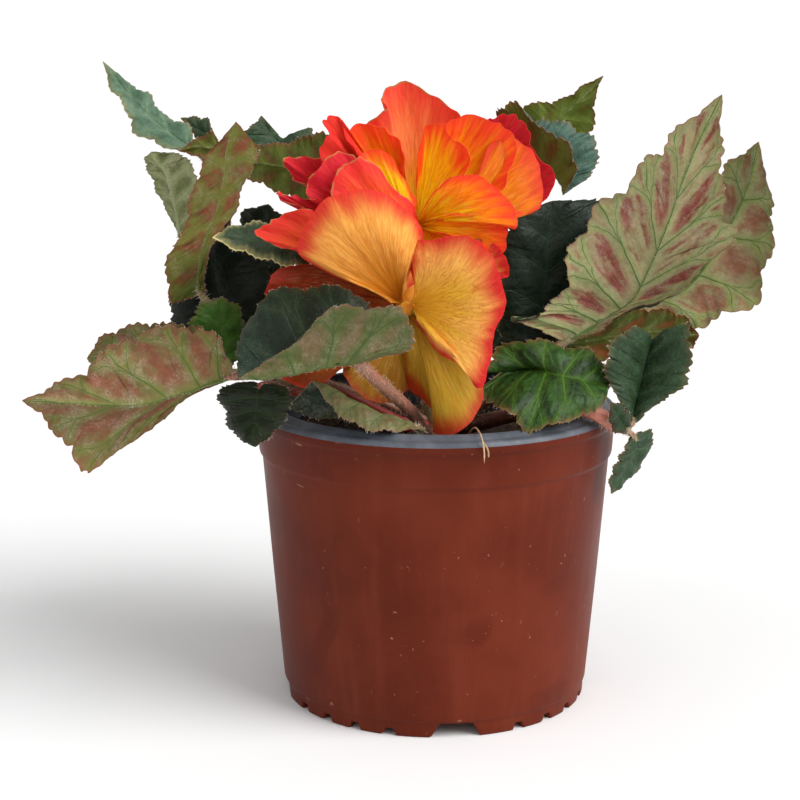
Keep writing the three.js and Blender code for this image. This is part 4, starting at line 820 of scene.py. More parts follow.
def blade(leaf, seed):
    """A leaf blade on a grid (vein v, place across a from -1 left to 1 right).
    P = R + (M - R) |a| reach(v) + up * crown * 4|a|(1 - |a|), with R the rib's curve and M the
    margin's. Then along its normal P is raised by quilting * sin²(pi v) * sin(pi |a|) * gap
    between the veins, by wave * |a|^2.5 * half * sin(1.3 pi v + phase) towards the margin, and by
    two fine ripples, and the margin is curled down by curl * |a|^6 * half. The underside
    stands off more along the rib and the veins, as low rounded ridges."""
    rows, tip = leaf["rows"], np.array(leaf["tip"], float)
    draw = np.random.default_rng(seed)
    veins = len(rows)
    size = np.linalg.norm(tip - rows[0, 1])
    per_vein = int(np.clip(size / veins * 1.7, 20, 32))
    half_columns = int(np.clip(size / 4.5, 12, 20))
    vein = (np.arange(veins)[:, None] + crowded(per_vein, 0.6)[None]).ravel()
    vein = np.append(vein, veins)
    share = np.linspace(0, 1, half_columns + 1) ** 1.25
    across = np.concatenate([-share[:0:-1], share])
    left, rib, right = (curve(np.vstack([rows[:, k], tip]), vein / veins) for k in range(3))
    ahead = unit(tip - rows[0, 1])
    out = np.abs(across)[None, :, None]
    is_left = (across < 0)[None, :, None]
    lobes = leaf.get("lobes", LOBE_DEPTH)
    left_reach, right_reach = (margin_reach(vein, np.linalg.norm(margin - rib, axis=1), lobes,
                                            draw)[:, None, None] for margin in (left, right))
    half = np.where(is_left, (left[:, None] - rib[:, None]) * left_reach,
                    (right[:, None] - rib[:, None]) * right_reach)
    half[-1] = 0
    lift = np.cross(ahead, half) * np.where(is_left, 1, -1)
    points = rib[:, None] + half * out + lift * LEAF_CROWN * 4 * out * (1 - out)
    normals = grid_normals(points)
    normals[-1] = unit(normals[-3].mean(axis=0))
    half_width = np.linalg.norm(half, axis=-1)
    gap = np.linalg.norm(np.gradient(points, vein, axis=0), axis=-1)
    v = vein[:, None]
    a = np.abs(across)[None]
    fade = smooth_step(0, 0.6, v) * smooth_step(0, 0.8, veins - v)
    slanted = leaning(v, a)
    quilt = QUILTING * gap * np.sin(math.pi * slanted) ** 2 * np.sin(math.pi * a) * fade
    phase = np.where(across < 0, draw.uniform(0, 6), draw.uniform(0, 6))[None]
    swing = np.sin(math.pi * v * 1.3 + phase)
    wave = leaf.get("wave", LEAF_WAVE) * half_width * a ** 2.5 * swing * fade
    fine = 0.35 * ripple(points, 13, seed) + 0.16 * ripple(points, 4.5, seed + 1)
    curl = LEAF_CURL * half_width * a ** 6 * fade
    points = points + normals * (quilt + wave + fine * fade - curl)[..., None]
    normals = grid_normals(points)
    normals[-1] = unit(normals[-3].mean(axis=0))
    from_vein = np.abs(slanted - np.round(slanted)) * gap * 0.8
    from_rib = a * half_width
    swell = (0.75 * np.exp(-(from_rib / 0.8) ** 2) * (1.15 - v / veins)
             + 0.25 * np.exp(-(from_vein / 0.7) ** 2) * (1 - 0.7 * a))
    thin = BLADE_HALF_THICKNESS * (1 - 0.4 * a ** 6)
    dent = 0.5 * swell * np.exp(-(from_rib / 2) ** 2)
    top = points + normals * (thin - 0.35 * dent)[..., None]
    bottom = points - normals * (thin + swell)[..., None]
    cells = {"vein": slanted, "out": a + 0 * v, "gap": gap, "half": half_width,
             "age": v / veins + 0 * a}
    return top, bottom, cells


def leaf_face(name, upper):
    """One face of a blade. The distances to the rib, to the nearest side vein and to its fork
    are worked out in millimetres from the blade's own coordinates, and give the vein lines, the
    pale zone beside them and the long blotches between them. Upper faces carry tiny white hair
    bases mixed with painted glints of light on the waxy skin, undersides a thin whitish felt and
    fainter painted glints."""
    finish = Finish(name)
    times, plus, minus, larger = finish.times, finish.plus, finish.minus, finish.larger
    span, blend, noise, read = finish.span, finish.blend, finish.noise, finish.read
    vein, out, gap, half, age = (read(key) for key in ("vein", "out", "gap", "half", "age"))
    where = finish.place()
    sway = minus(noise(where, 110, 2, 0.5), 0.5)
    bent = plus(vein, times(times(sway, 0.35), out))
    off = finish.math("ABSOLUTE", minus(bent, finish.math("ROUND", bent)))
    side = times(times(off, gap), 0.8)
    spread = span(out, 0.38, 1.1, 0, 0.42)
    fork = times(finish.math("ABSOLUTE", minus(off, spread)), times(gap, 0.8))
    fork = plus(fork, span(out, 0.38, 0.46, 8, 0))
    rib = times(out, half)
    nearest = finish.math("MINIMUM", rib, finish.math("MINIMUM", side, fork))
    rib_width = span(age, 0, 1, 0.62, 0.24)
    rib_line = span(finish.math("DIVIDE", rib, rib_width), 0.5, 1.2, 1, 0)
    side_width = span(out, 0, 1, 0.36, 0.16)
    side_line = span(finish.math("DIVIDE", side, side_width), 0.45, 1.3, 1, 0)
    fork_line = span(finish.math("DIVIDE", fork, side_width), 0.35, 1.1, 0.85, 0)
    lines = larger(rib_line, larger(side_line, fork_line))
    net = finish.cells(where, 330)
    net_line = span(net, 0.0, 0.1, 1, 0)
    cell = span(net, 0.0, 0.3)
    vein_tint = read("vein_tint", "Color")
    line_strength = times(lines, read("vein_tint", "Alpha"))
    along = finish.add("CombineXYZ",
                       {"X": times(vein, 3.4), "Y": times(out, 1.1), "Z": times(sway, 2.0)})
    streak = noise(along, 1.0, 3, 0.6)
    cloud = noise(where, 60, 3, 0.55)
    grain = noise(where, 1100, 3, 0.7)
    width = plus(nearest, times(minus(cloud, 0.5), 3.0))
    width = plus(width, times(minus(grain, 0.5), 2.4))
    between = times(span(width, 0.5, 3.4), span(streak, 0.33, 0.6))
    between = times(between, span(out, 0.02, 0.22, 0.1, 1))
    blush = times(span(width, 0.2, 4.5), span(cloud, 0.3, 0.66, 0.1, 0.5))
    blush = times(blush, span(out, 0.1, 0.9, 0.35, 1))
    between = larger(times(between, span(out, 0.8, 1.0, 1, 0.5)), blush)
    base = blend(times(between, read("blotch", "Alpha")), read("ground", "Color"),
                 read("blotch", "Color"))
    fresh = blend(1.0, vein_tint, (1.7, 1.6, 1.5, 1), "MULTIPLY")
    near = span(nearest, 0.2, 2.8, 0.42, 0)
    base = blend(times(near, read("vein_tint", "Alpha")), base, fresh)
    mottle = noise(where, 420, 4, 0.65)
    dark, light = (0.74, 1.2) if upper else (0.86, 1.1)
    shade = blend(span(mottle, 0.3, 0.7), grey(dark), grey(light))
    base = blend(1.0, base, shade, "MULTIPLY")
    patchy = blend(span(cloud, 0.3, 0.7), (0.85, 0.88, 0.82, 1), (1.12, 1.1, 1.1, 1))
    base = blend(1.0, base, patchy, "MULTIPLY")
    edge = plus(times(minus(1.0, out), half), times(sway, 0.8))
    rim = larger(span(edge, 0.2, 0.7, 1, 0), span(edge, 0.4, 3.0, 0.3, 0))
    rim = times(rim, read("edge_tint", "Alpha"))
    # Painted glints: pale specks in patches, partly tiny hair bases and partly light caught by the
    # waxy skin.
    hair_and_glint_specks = times(span(finish.cells(where, 1400, "F1"), 0.05, 0.4, 1, 0),
                      span(grain, 0.44, 0.6))
    patch = span(noise(where, 70, 4, 0.6), 0.36, 0.6)
    glint = times(times(hair_and_glint_specks, patch), read("ground", "Alpha"))
    if upper:
        base = blend(times(net_line, 0.1), base, vein_tint)
        base = blend(line_strength, base, vein_tint)
        base = blend(glint, base, colour(136, 150, 136))
        relief = minus(times(cell, 0.6), times(lines, 1.3))
        finish.set(roughness=span(mottle, 0.3, 0.7, 0.38, 0.54), specular_ior_level=0.2)
    else:
        base = blend(times(net_line, 0.12), base, vein_tint)
        felt = times(span(noise(where, 150, 4, 0.7), 0.42, 0.66),
                     span(noise(where, 1500, 2, 0.6), 0.3, 0.7))
        base = blend(times(felt, read("ground", "Alpha")), base, colour(206, 194, 174))
        base = blend(line_strength, base, vein_tint)
        base = blend(times(glint, 0.5), base, colour(224, 214, 190))
        relief = plus(times(lines, 1.0), times(net_line, 0.3))
        finish.set(roughness=0.7, specular_ior_level=0.18)
    base = blend(rim, base, read("edge_tint", "Color"))
    finish.set(base_color=base, normal=finish.bump(relief, 0.5, 0.0003))
    finish.scatter(0.05, (0.6, 1.0, 0.3))
    return finish.material


def face_tones(leaf, age):
    """Colours for both faces of a blade, the top grid's points first. Where a face has a second,
    darker look as painted shade over its foot, that look gives way to the main one over a stretch
    of its length."""
    layers = {}
    grown = smooth_step(*leaf.get("foot", (0, 1)), age.ravel())[:, None]
    for place, key in enumerate(("ground", "vein_tint", "blotch", "edge_tint")):
        values = []
        for face in ("top", "under"):
            looks = LOOKS[leaf[face]], LOOKS[leaf.get(face + "_foot", leaf[face])]
            main, foot = (np.append(colour(*look[place][:3])[:3], look[place][3]) for look in looks)
            values.append(foot + (main - foot) * grown)
        layers[key] = np.concatenate(values)
    return layers


def hairs(root, out, length, droop, radius, seed):
    """Fine hairs: from each root a three-sided cone of two stretches, whose middle lies half
    the length out and whose tip bends down by the droop."""
    draw = np.random.default_rng(seed)
    count = len(root)
    aside = unit(np.cross(out, draw.normal(size=(count, 3))))
    other = np.cross(out, aside)
    f = np.arange(3) * 2 * math.pi / 3
    ring = aside[:, None] * np.cos(f)[None, :, None] + other[:, None] * np.sin(f)[None, :, None]
    reach = length[:, None]
    middle = root + out * reach * 0.5 + aside * reach * 0.05
    end = root + out * reach * 0.95 + np.array([0, 0, -1.0]) * reach * droop[:, None]
    points = np.concatenate([root[:, None] + ring * radius, middle[:, None] + ring * radius * 0.7,
                             end[:, None]], axis=1)
    low = np.array([(0, 1, 4, 3), (1, 2, 5, 4), (2, 0, 3, 5)])
    high = np.array([(3, 4, 6), (4, 5, 6), (5, 3, 6)])
    shift = 7 * np.arange(count)[:, None, None]
    faces = (low[None] + shift).reshape(-1, 4).tolist()
    faces += (high[None] + shift).reshape(-1, 3).tolist()
    faces += (np.array([[(2, 1, 0)]]) + shift).reshape(-1, 3).tolist()
    return points.reshape(-1, 3), faces


def hair_finish():
    """Pale, slightly pink hairs that catch the light."""
    finish = Finish("plant hairs")
    noise = finish.noise(finish.place(), 300, 2, 0.5)
    base = finish.blend(finish.span(noise, 0.35, 0.65), colour(214, 186, 164),
                        colour(236, 226, 208))
    finish.set(base_color=base, roughness=0.6)
    return finish.material


def leaf_hair_roots(top, bottom, draw):
    """Places and directions of a blade's hairs: one to a millimetre along both margins, pointing
    out from the rib, and two to a millimetre along the underside of the rib, pointing down."""
    middle = top.shape[1] // 2
    margin = np.concatenate([(top[:, k] + bottom[:, k]) / 2 for k in (0, -1)])
    away = np.concatenate([unit(top[:, k] - top[:, middle]) for k in (0, -1)])
    length = np.linalg.norm(np.diff(margin, axis=0), axis=1).sum()
    count = int(length * MARGIN_HAIRS_PER_MM)
    picks = draw.integers(0, len(margin) - 2, count)
    slide = draw.uniform(0, 1, (count, 1))
    following = np.minimum(picks + 1, len(margin) - 1)
    close = np.linalg.norm(margin[following] - margin[picks], axis=1) < 4
    roots = (margin[picks] + (margin[following] - margin[picks]) * slide)[close]
    outs = unit(away[picks] + 0.5 * draw.normal(size=(count, 3)))[close]
    rib = bottom[:, middle]
    down = unit(bottom[:, middle] - top[:, middle])
    rib_count = int(np.linalg.norm(rib[-1] - rib[0]) * RIB_HAIRS_PER_MM)
    rib_picks = draw.integers(0, len(rib) - 2, rib_count)
    rib_outs = unit(down[rib_picks] + 0.6 * draw.normal(size=(len(rib_picks), 3)))
    return np.concatenate([roots, rib[rib_picks]]), np.concatenate([outs, rib_outs])


leaf_upper = leaf_face("leaf upper face", upper=True)
leaf_under = leaf_face("leaf underside", upper=False)
leaf_hair = []
hair_draw = np.random.default_rng(71)
for order, leaf in enumerate(LEAVES):
    top, bottom, cells = blade(leaf, seed=100 + order)
    points, faces, side = closed_skin(top, bottom)
    layers = {key: np.tile(values.ravel(), 2) for key, values in cells.items()}
    layers |= face_tones(leaf, cells["age"])
    piece = put_mesh("blade_" + leaf["name"][5:], points, faces, [leaf_upper, leaf_under],
                     face_material=side, attributes=layers)
    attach(piece, "root")
    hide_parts(leaf["name"])
    leaf_hair.append(leaf_hair_roots(top, bottom, hair_draw))

hair_root, hair_out = (np.concatenate(parts) for parts in zip(*leaf_hair))
hair_points, hair_faces = hairs(hair_root, hair_out, hair_draw.uniform(0.4, 1.1, len(hair_root)),
                                hair_draw.uniform(0.0, 0.2, len(hair_root)), LEAF_HAIR_RADIUS,
                                seed=72)
pale_hair = hair_finish()
fringe = put_mesh("leaf_hairs", hair_points, hair_faces, [pale_hair])
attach(fringe, "root")

# ======================================================================================
# The stems
# A knobbly crown in the soil, from which the flower stem, the leafy stems and the leaf stalks
# grow. They are fleshy, pinkish brown to pale green, thickest at the crown, and covered in
# fine pale hairs that stand out or droop. Two dry root fibres hang over the rim.
# ======================================================================================
STALK_SIDES = 14
PATH_SAMPLES = 400
RING_STEP = 1.2
KNOB_ROWS, KNOB_COLUMNS = 18, 28
STEM_TAPER = ((0, 1.1), (0.3, 1.0), (1, 0.92))
STALK_TAPER = ((0, 1.25), (0.15, 1.0), (0.6, 0.9), (0.93, 0.85), (1, 0.45))
STALK_TONE, BLADE_END_TONE, CROWN_TONE = (150, 96, 74), (128, 122, 78), (120, 82, 58)
FIBRE_RADIUS = 0.32
FIBRE_TONES = (150, 116, 84), (206, 176, 138)
STEM_HAIR_RADIUS = 0.045
STEM_HAIRS_PER_MM = 4
HAIRS_AT_STEM_END = 90
# The path, the radius, the taper, and the tones at both ends.
STEMS = [
    ([(-1, 1, 98), (-4, 3, 118), (-9, -3, 135), (-11.4, -20, 148)], 2.6, STEM_TAPER,
     (110, 100, 60), (140, 140, 80)),
    ([(-1, 3, 96), (-3, 10, 115), (-6, 17, 134), (-7, 20, 150)], 4, STEM_TAPER, (84, 66, 44),
     (128, 108, 72)),
    ([(4, 2, 96), (6, 4, 106)], 4, STEM_TAPER, (90, 60, 44), (120, 84, 62)),
    ([(4, -1, 99), (30, -16, 109), (41, -27, 114), (50, -36, 115), (57, -38, 113),
     (65, -32, 107)], 2.8, STEM_TAPER, (74, 50, 36), (206, 126, 104)),
]
# The middle and the half sizes of each knob.
CROWN_KNOBS = (
    ((0, 0, 95), (10.5, 10, 6.5)), ((-4, 3, 99), (5, 5, 4)), ((5, 2, 99), (5, 5, 4.5)),
    ((1, -4, 98), (5, 4, 4)), ((-2, 8, 97), (5, 4, 5)), ((6, 5, 98), (4.5, 4.5, 4.5)),
)
ROOT_FIBRES = [
    [(9, -40, 104), (12, -54, 112), (13.5, -61, 112.6), (14.5, -66.4, 111), (15.2, -66.8, 107),
     (15.3, -66.2, 102.5)],
    [(14.6, -66.3, 110.4), (16.4, -66.4, 107.5), (16.8, -66, 104.6)],
]


def tube(path, radius, taper):
    """A round stem along a smooth path, with rings at even distances along its length:
    P = C(t) + r(t) (n cos f + b sin f), with n and b square to the path's direction. r is the
    radius times the taper's value at the share t of the length, and both ends round off as
    sqrt(1 - (1 - d)²) over the last stretch d."""
    samples = np.linspace(0, 1, PATH_SAMPLES)
    dense = curve(path, samples)
    travelled = np.append(0, np.cumsum(np.linalg.norm(np.diff(dense, axis=0), axis=1)))
    steps = int(np.clip(travelled[-1] / RING_STEP, 24, 120))
    t = np.linspace(0, 1, steps)
    centre = curve(path, np.interp(t * travelled[-1], travelled, samples))
    tangent = unit(np.gradient(centre, axis=0))
    aside = np.cross(unit(centre[-1] - centre[0]), [0.31, 0.17, 0.93])
    n = unit(np.cross(np.cross(tangent, aside), tangent))
    b = np.cross(tangent, n)
    r = radius * np.interp(t, *zip(*taper))
    end = np.minimum(np.minimum(t, 1 - t) * steps / 3, 1)
    r = r * np.sqrt(np.maximum(1 - (1 - end) ** 2, 0.0004))
    knobs = 1 + 0.07 * ripple(centre, 7, 31)
    f = np.linspace(0, 2 * math.pi, STALK_SIDES, endpoint=False)
    ring = n[:, None] * np.cos(f)[None, :, None] + b[:, None] * np.sin(f)[None, :, None]
    return centre[:, None] + ring * (r * knobs)[:, None, None], ring, tangent, travelled[-1]


def tube_faces(points):
    """Quads round the tube, and one flat face at each end."""
    rows, columns = points.shape[:2]
    sides = grid_faces(rows, columns, closed_columns=True).tolist()
    return sides + [list(range(columns))[::-1], list(range((rows - 1) * columns, rows * columns))]


class Gathering:
    """Many shapes in one mesh: their points, their faces counted on, and values by point."""

    def __init__(self):
        self.points, self.faces, self.layers = [], [], {}

    def add(self, grid, faces, **layers):
        shift, size = sum(map(len, self.points)), grid.size // 3
        self.points.append(grid.reshape(-1, 3))
        self.faces += [[corner + shift for corner in face] for face in faces]
        for key, value in layers.items():
            value = np.full(size, float(value)) if np.ndim(value) == 0 else value
            self.layers.setdefault(key, []).append(value)

    def put(self, name, materials):
        layers = {key: np.concatenate(parts) for key, parts in self.layers.items()}
        return put_mesh(name, np.concatenate(self.points), self.faces, materials, attributes=layers)


def stem_skin():
    """Fleshy stalk: its own tone along its length, fine uneven streaks and a reddish blush in
    places.
    """
    finish = Finish("stem skin")
    where = finish.place()
    tone = finish.read("tone", "Color")
    streaks = finish.noise(where, 500, 4, 0.6)
    shade = finish.blend(finish.span(streaks, 0.3, 0.7), grey(0.75), grey(1.2))
    base = finish.blend(1.0, tone, shade, "MULTIPLY")
    blush = finish.noise(where, 130, 3, 0.5)
    base = finish.blend(finish.span(blush, 0.5, 0.7, 0, 0.35), base, colour(150, 78, 62))
    finish.set(base_color=base, roughness=0.48, normal=finish.bump(streaks, 0.4, 0.0003))
    finish.scatter(0.15, (1.2, 0.7, 0.4))
    return finish.material


def crown_knob(middle, size, seed):
    """A lumpy ball: the unit sphere's points (cos p cos q, cos p sin q, sin p) times the size
    and 1 + 0.12 ripple."""
    p = np.linspace(-math.pi / 2 + 0.01, math.pi / 2 - 0.01, KNOB_ROWS)
    q = np.linspace(0, 2 * math.pi, KNOB_COLUMNS, endpoint=False)
    ball = np.stack([np.cos(p)[:, None] * np.cos(q), np.cos(p)[:, None] * np.sin(q),
                     np.sin(p)[:, None] + 0 * q], axis=-1)
    points = ball * np.array(size) * (1 + 0.12 * ripple(ball * 10, 7, seed))[..., None]
    return points + np.array(middle)


hair_roots, hair_outs = [], []
stem_draw = np.random.default_rng(41)
routes = list(STEMS)
for leaf in LEAVES:
    blade_base = leaf["rows"][0][1]
    path = [*leaf["stalk"], blade_base, blade_base + 3 * unit(leaf["rows"][1][1] - blade_base)]
    routes.append((path, leaf["stalk_radius"], STALK_TAPER, leaf.get("stalk_tone", STALK_TONE),
                   leaf.get("blade_end", BLADE_END_TONE)))
routes += [(path, FIBRE_RADIUS, STALK_TAPER, *FIBRE_TONES) for path in ROOT_FIBRES]
gathered = Gathering()
for path, radius, taper, start_tone, end_tone in routes:
    skin, ring, tangent, length = tube(path, radius, taper)
    start, end = np.array(colour(*start_tone)), np.array(colour(*end_tone))
    share = np.linspace(0, 1, len(skin))[:, None, None] ** 1.5
    tones = np.broadcast_to(start + (end - start) * share, skin.shape[:2] + (4,))
    gathered.add(skin, tube_faces(skin), tone=tones.reshape(-1, 4))
    if radius == FIBRE_RADIUS:
        continue
    rows = np.concatenate([
        stem_draw.integers(2, len(skin) - 1, int(length * STEM_HAIRS_PER_MM)),
        len(skin) - 1 - stem_draw.integers(1, 9, HAIRS_AT_STEM_END)])
    picks = (rows, stem_draw.integers(0, STALK_SIDES, len(rows)))
    hair_roots.append(skin[picks])
    hair_outs.append(unit(ring[picks] + 0.5 * stem_draw.normal(size=(len(rows), 3))))
for knob, (middle, size) in enumerate(CROWN_KNOBS):
    ball = crown_knob(middle, size, seed=50 + knob)
    gathered.add(ball, tube_faces(ball), tone=np.tile(colour(*CROWN_TONE), (ball.size // 3, 1)))
stems = gathered.put("stems_and_stalks", [stem_skin()])
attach(stems, "root")
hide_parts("stems")

hair_root = np.concatenate(hair_roots)
hair_points, hair_faces = hairs(hair_root, np.concatenate(hair_outs),
                                stem_draw.uniform(0.6, 2.3, len(hair_root)),
                                stem_draw.uniform(0.0, 0.3, len(hair_root)), STEM_HAIR_RADIUS,
                                seed=42)
stem_hair = put_mesh("stem_hairs", hair_points, hair_faces, [pale_hair])
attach(stem_hair, "root")

# ======================================================================================
# The flower
# A full double bloom: large outer petals that hang and spread, and shorter inner ones that
# stand round the heart. They are soft and silky, yellow at the base, orange along the middle
# and red at the rim, with fine veins fanning out from the base and a few dry, tan edges.
# ======================================================================================
PETAL_HALF_THICKNESS = 0.22
PETAL_RUFFLE = 0.024
PETAL_ROLL = 0.6
NEAR_GRID, FAR_GRID = (54, 32), (30, 20)
RECEPTACLE = (-11.4, -20, 148)
HEART = (-7, -4, 172.6)
CORE_RADIUS, CORE_END, CORE_TONE = 4.4, 3.8, (226, 150, 46)
FAN_STEP = 5.0
FAN_SHIFT = 13
USUAL_LENGTH = 30.0

# Heart, middle and rim colours, the places where middle and rim begin, and the lines' strength.
TINTS = {
    "peach": ((200, 124, 14), (240, 164, 76), (208, 52, 40), (0.45, 0.74),
              {"line": 0.6, "rays": 0.1}),
    "ember": ((246, 190, 52), (252, 178, 88), (204, 30, 38), (0.5, 0.66),
              {"line": 0.7, "rays": 0.12}),
    "gold": ((154, 116, 20), (178, 140, 36), (172, 58, 24), (0.35, 0.82), {"line": 0.4}),
    "flame": ((255, 206, 0), (255, 184, 0), (250, 70, 26), (0.62, 0.7),
              {"line": 0.4, "rays": 0.16, "soft": 0.2}),
    "blaze": ((255, 196, 0), (255, 154, 0), (248, 68, 34), (0.55, 0.62),
              {"line": 0.3, "rays": 0.2, "soft": 0.2}),
    "salmon": ((255, 196, 20), (255, 146, 84), (240, 70, 60), (0.42, 0.62),
               {"line": 0.6, "rays": 0.24, "soft": 0.2}),
    "coral": ((255, 150, 10), (242, 76, 34), (226, 46, 44), (0.35, 0.55),
              {"line": 0.5, "rays": 0.24, "soft": 0.18}),
    "orange": ((255, 190, 0), (254, 126, 0), (244, 62, 30), (0.5, 0.64),
               {"line": 0.5, "rays": 0.2, "soft": 0.18}),
    "amber": ((244, 164, 10), (224, 116, 14), (222, 66, 40), (0.55, 0.74),
              {"line": 0.6, "rays": 0.14, "soft": 0.2}),
    "crimson": ((224, 70, 30), (214, 32, 36), (196, 28, 48), (0.2, 0.5), {"line": 0.3}),
    # Painted shade: a darkened copy of the petal colours, for a petal that lies in shadow.
    "shaded brick": ((124, 70, 8), (118, 60, 8), (114, 44, 10), (0.4, 0.78), {"line": 0.4}),
    "ruddy": ((244, 140, 30), (234, 92, 40), (212, 44, 40), (0.35, 0.6),
              {"line": 0.6, "rays": 0.1}),
    "wine": ((130, 60, 10), (112, 38, 8), (104, 20, 8), (0.35, 0.6), {"line": 0.15, "rays": 0.1}),
    "rust": ((176, 140, 28), (150, 106, 22), (150, 74, 24), (0.4, 0.88), {"line": 0.2}),
    "far": ((250, 160, 40), (242, 100, 50), (220, 50, 46), (0.4, 0.7), {"line": 0.4}),
}


def a_petal(tint, base, belly, rim, **more):
    """A petal's measures by name."""
    return {"tint": tint, "base": base, "belly": belly, "rim": rim, **more}


# The petals in view, picked in the photo in the same way as the leaves.
PETALS = [
    a_petal("peach", (-12, -20, 150), (-2, -9, 2), [(-7.5, -21, 157), (-7.5, -25, 165.5),
          (-6, -30, 178), (-15, -36, 187.5), (-24, -40, 192.5), (-34.5, -42, 191),
          (-42, -42, 186), (-47.5, -40, 175), (-46, -38, 169.5), (-37.5, -34, 163.5),
          (-26.5, -27, 157.5), (-16, -21, 149.5)], ruffle=0.012, netted=0.14),
    a_petal("ember", (-9.5, -20, 149.5), (2, -8, -1), [(-10, -27, 165), (-9.5, -30, 173.5),
          (-3, -34, 174.5), (8.5, -39, 176.5), (17, -41, 172), (21, -43, 162.5), (23, -45, 153.5),
          (19, -47, 143.5), (18, -49, 135.5), (14, -52, 125.5), (9, -47, 133), (0.5, -40, 137),
          (-4.5, -30, 140.5), (-9, -22, 145)], ruffle=0.014, netted=0.42),
    a_petal("gold", (-10.5, -19, 147), (1, -7, 3), [(-13, -22, 133.5), (-12, -28, 124.5),
          (-6, -34, 118.5), (0, -40, 113.5), (0, -47, 108.5), (8, -50, 110.5), (14.5, -46, 117.5),
          (15.5, -42, 123), (10.5, -36, 129.5), (1, -27, 136), (-6, -20, 140.5)], ruffle=0.02),
    a_petal("shaded brick", (-13, -17, 147), (-1, -3, 2), [(-28.5, -29, 132.5), (-35, -36, 128),
          (-45.5, -40, 123), (-55, -40, 127.5), (-53.5, -38, 134.5), (-41.5, -30, 142)]),
    a_petal("rust", (-12, -18, 146.5), (0, -2, 0), [(-31, -26, 133.5), (-33.5, -31, 127),
          (-26.5, -34, 119), (-17.5, -34, 116.5), (-12, -31, 120), (-10.5, -25, 130.5)]),
    a_petal("wine", (-13, -15, 148.5), (0, -2, 4), [(-18.5, -20, 152.5), (-29, -28, 159.5),
          (-43, -34, 165.5), (-53.5, -37, 165), (-59, -38, 160), (-59.5, -38, 153.5),
          (-48, -37, 148.5), (-29, -26, 138)]),
    a_petal("ruddy", (-14, -13, 154), (0, -3, 2), [(-38, -26, 165.5), (-48, -32, 170.5),
          (-56.5, -34, 172.5), (-63.5, -35, 176.5), (-58, -34, 181), (-48, -30, 184),
          (-38, -24, 179.5)], dry=1),
    a_petal("crimson", (-13, -10, 156.5), (0, -2, 3), [(-39.5, -22, 186), (-48, -25, 188.5),
          (-57, -27, 190), (-49, -27, 185.5), (-39.5, -25, 182.5)], dry=1),
    a_petal("crimson", (-11.5, -4, 160.5), (0, 2, 2), [(-45, -14, 190.5), (-52, -16, 197),
          (-55, -17, 201), (-48.5, -15, 201), (-40, -12, 201.5), (-31, -8, 198)], dry=1),
    a_petal("crimson", (-10.5, -8, 163.5), (0, -3, 2), [(-32.5, -26, 186), (-39.5, -28, 185.5),
          (-44.5, -28, 188), (-45.5, -27, 193), (-41, -25, 199.5), (-35.5, -22, 204),
          (-29.5, -19, 202.5)], dry=1),
    a_petal("coral", (-8.5, -4, 168), (0, 2, 3), [(-30, -16, 202.5), (-33, -16, 209.5),
          (-33.5, -16, 214.5), (-38.5, -17, 215), (-39, -18, 210.5), (-41, -19, 202.5),
          (-34.5, -18, 195.5)]),
    a_petal("blaze", (-8, -4, 169), (0, 5, 2), [(-32.5, -14, 201), (-33.5, -12, 209),
          (-25.5, -11, 212), (-17.5, -10, 211), (-14, -9, 204.5), (-12.5, -8, 196.5)]),
    a_petal("coral", (-8, -14, 167.5), (0, -5, 2), [(-34, -30, 186), (-37, -30, 190.5),
          (-35, -28, 197.5), (-30, -26, 201), (-24.5, -24, 200.5), (-17.5, -21, 193.5),
          (-9.5, -18, 185.5), (-7, -17, 177.5)], dry=1),
    a_petal("flame", (-8, -8, 171.5), (0, -3, 1), [(-29, -20, 199), (-27.5, -19, 202),
          (-21.5, -17, 204.5), (-16, -15, 200), (-10.5, -12, 191), (-8, -11, 184)]),
    a_petal("salmon", (-7.5, -4, 171.5), (0, 9, 0), [(-21, -4, 203.5), (-24, -2, 211.5),
          (-18.5, 0, 218.5), (-19.5, 2, 222), (-10.5, 5, 226), (0.5, 5, 221.5), (8.5, 3, 215),
          (7, 0, 203)], dry=1),
    a_petal("flame", (-7, -8, 174), (0, 4, 0), [(-7.5, -13, 198.5), (-4, -14, 209.5),
          (-2, -14, 213), (2.5, -14, 213), (4.5, -14, 207.5), (11, -16, 203), (8, -17, 193.5),
          (-0.5, -16, 186.5)]),
    a_petal("blaze", (-6.5, -6, 174.5), (0, 5, 0), [(4, -8, 203.5), (5.5, -6, 212.5),
          (13.5, -4, 215.5), (22.5, -4, 212), (27.5, -6, 207), (25.5, -10, 197.5),
          (23.5, -13, 190), (11.5, -14, 190)]),
    a_petal("amber", (-4.5, -4, 172.5), (3, -5, 0), [(19, -3, 203), (24, -2, 208.5), (32, -2, 204),
          (37, -4, 196), (37.5, -8, 184), (30.5, -12, 181.5), (24, -14, 186.5)]),
    a_petal("orange", (-7, -13, 177.5), (0, -6, 2), [(-3.5, -20, 185), (0, -22, 191.5),
          (6, -24, 195), (14.5, -26, 195), (21.5, -27, 190.5), (26, -28, 186), (27.5, -29, 179),
          (22, -27, 181.5), (11.5, -24, 182.5)]),
    a_petal("orange", (-7, -14, 177), (0, -3, 0), [(4.5, -22, 182), (15, -24, 181.5),
          (23.5, -25, 180.5), (24, -27, 175), (22.5, -28, 169), (14, -28, 173), (4.5, -25, 175)]),
    a_petal("ember", (-9, -14, 156), (2, -4, 0), [(11.5, -24, 175), (18.5, -27, 173.5),
          (23.5, -28, 168), (25, -28, 161), (19, -29, 164), (15, -28, 161.5)]),
    a_petal("crimson", (-4.5, 2, 168), (3, 7, 2), [(12.5, 6, 211.5), (20.5, 8, 214.5),
          (27.5, 8, 214.5), (33, 8, 209.5), (36, 7, 201.5), (41.5, 6, 196), (40.5, 3, 186.5),
          (30.5, 0, 183)]),
    a_petal("flame", (-8, -9, 163.5), (0, -2, 0), [(-7.5, -13, 178.5), (-2.5, -16, 177.5),
          (5, -20, 175), (10, -22, 172.5), (1, -18, 167)]),
]


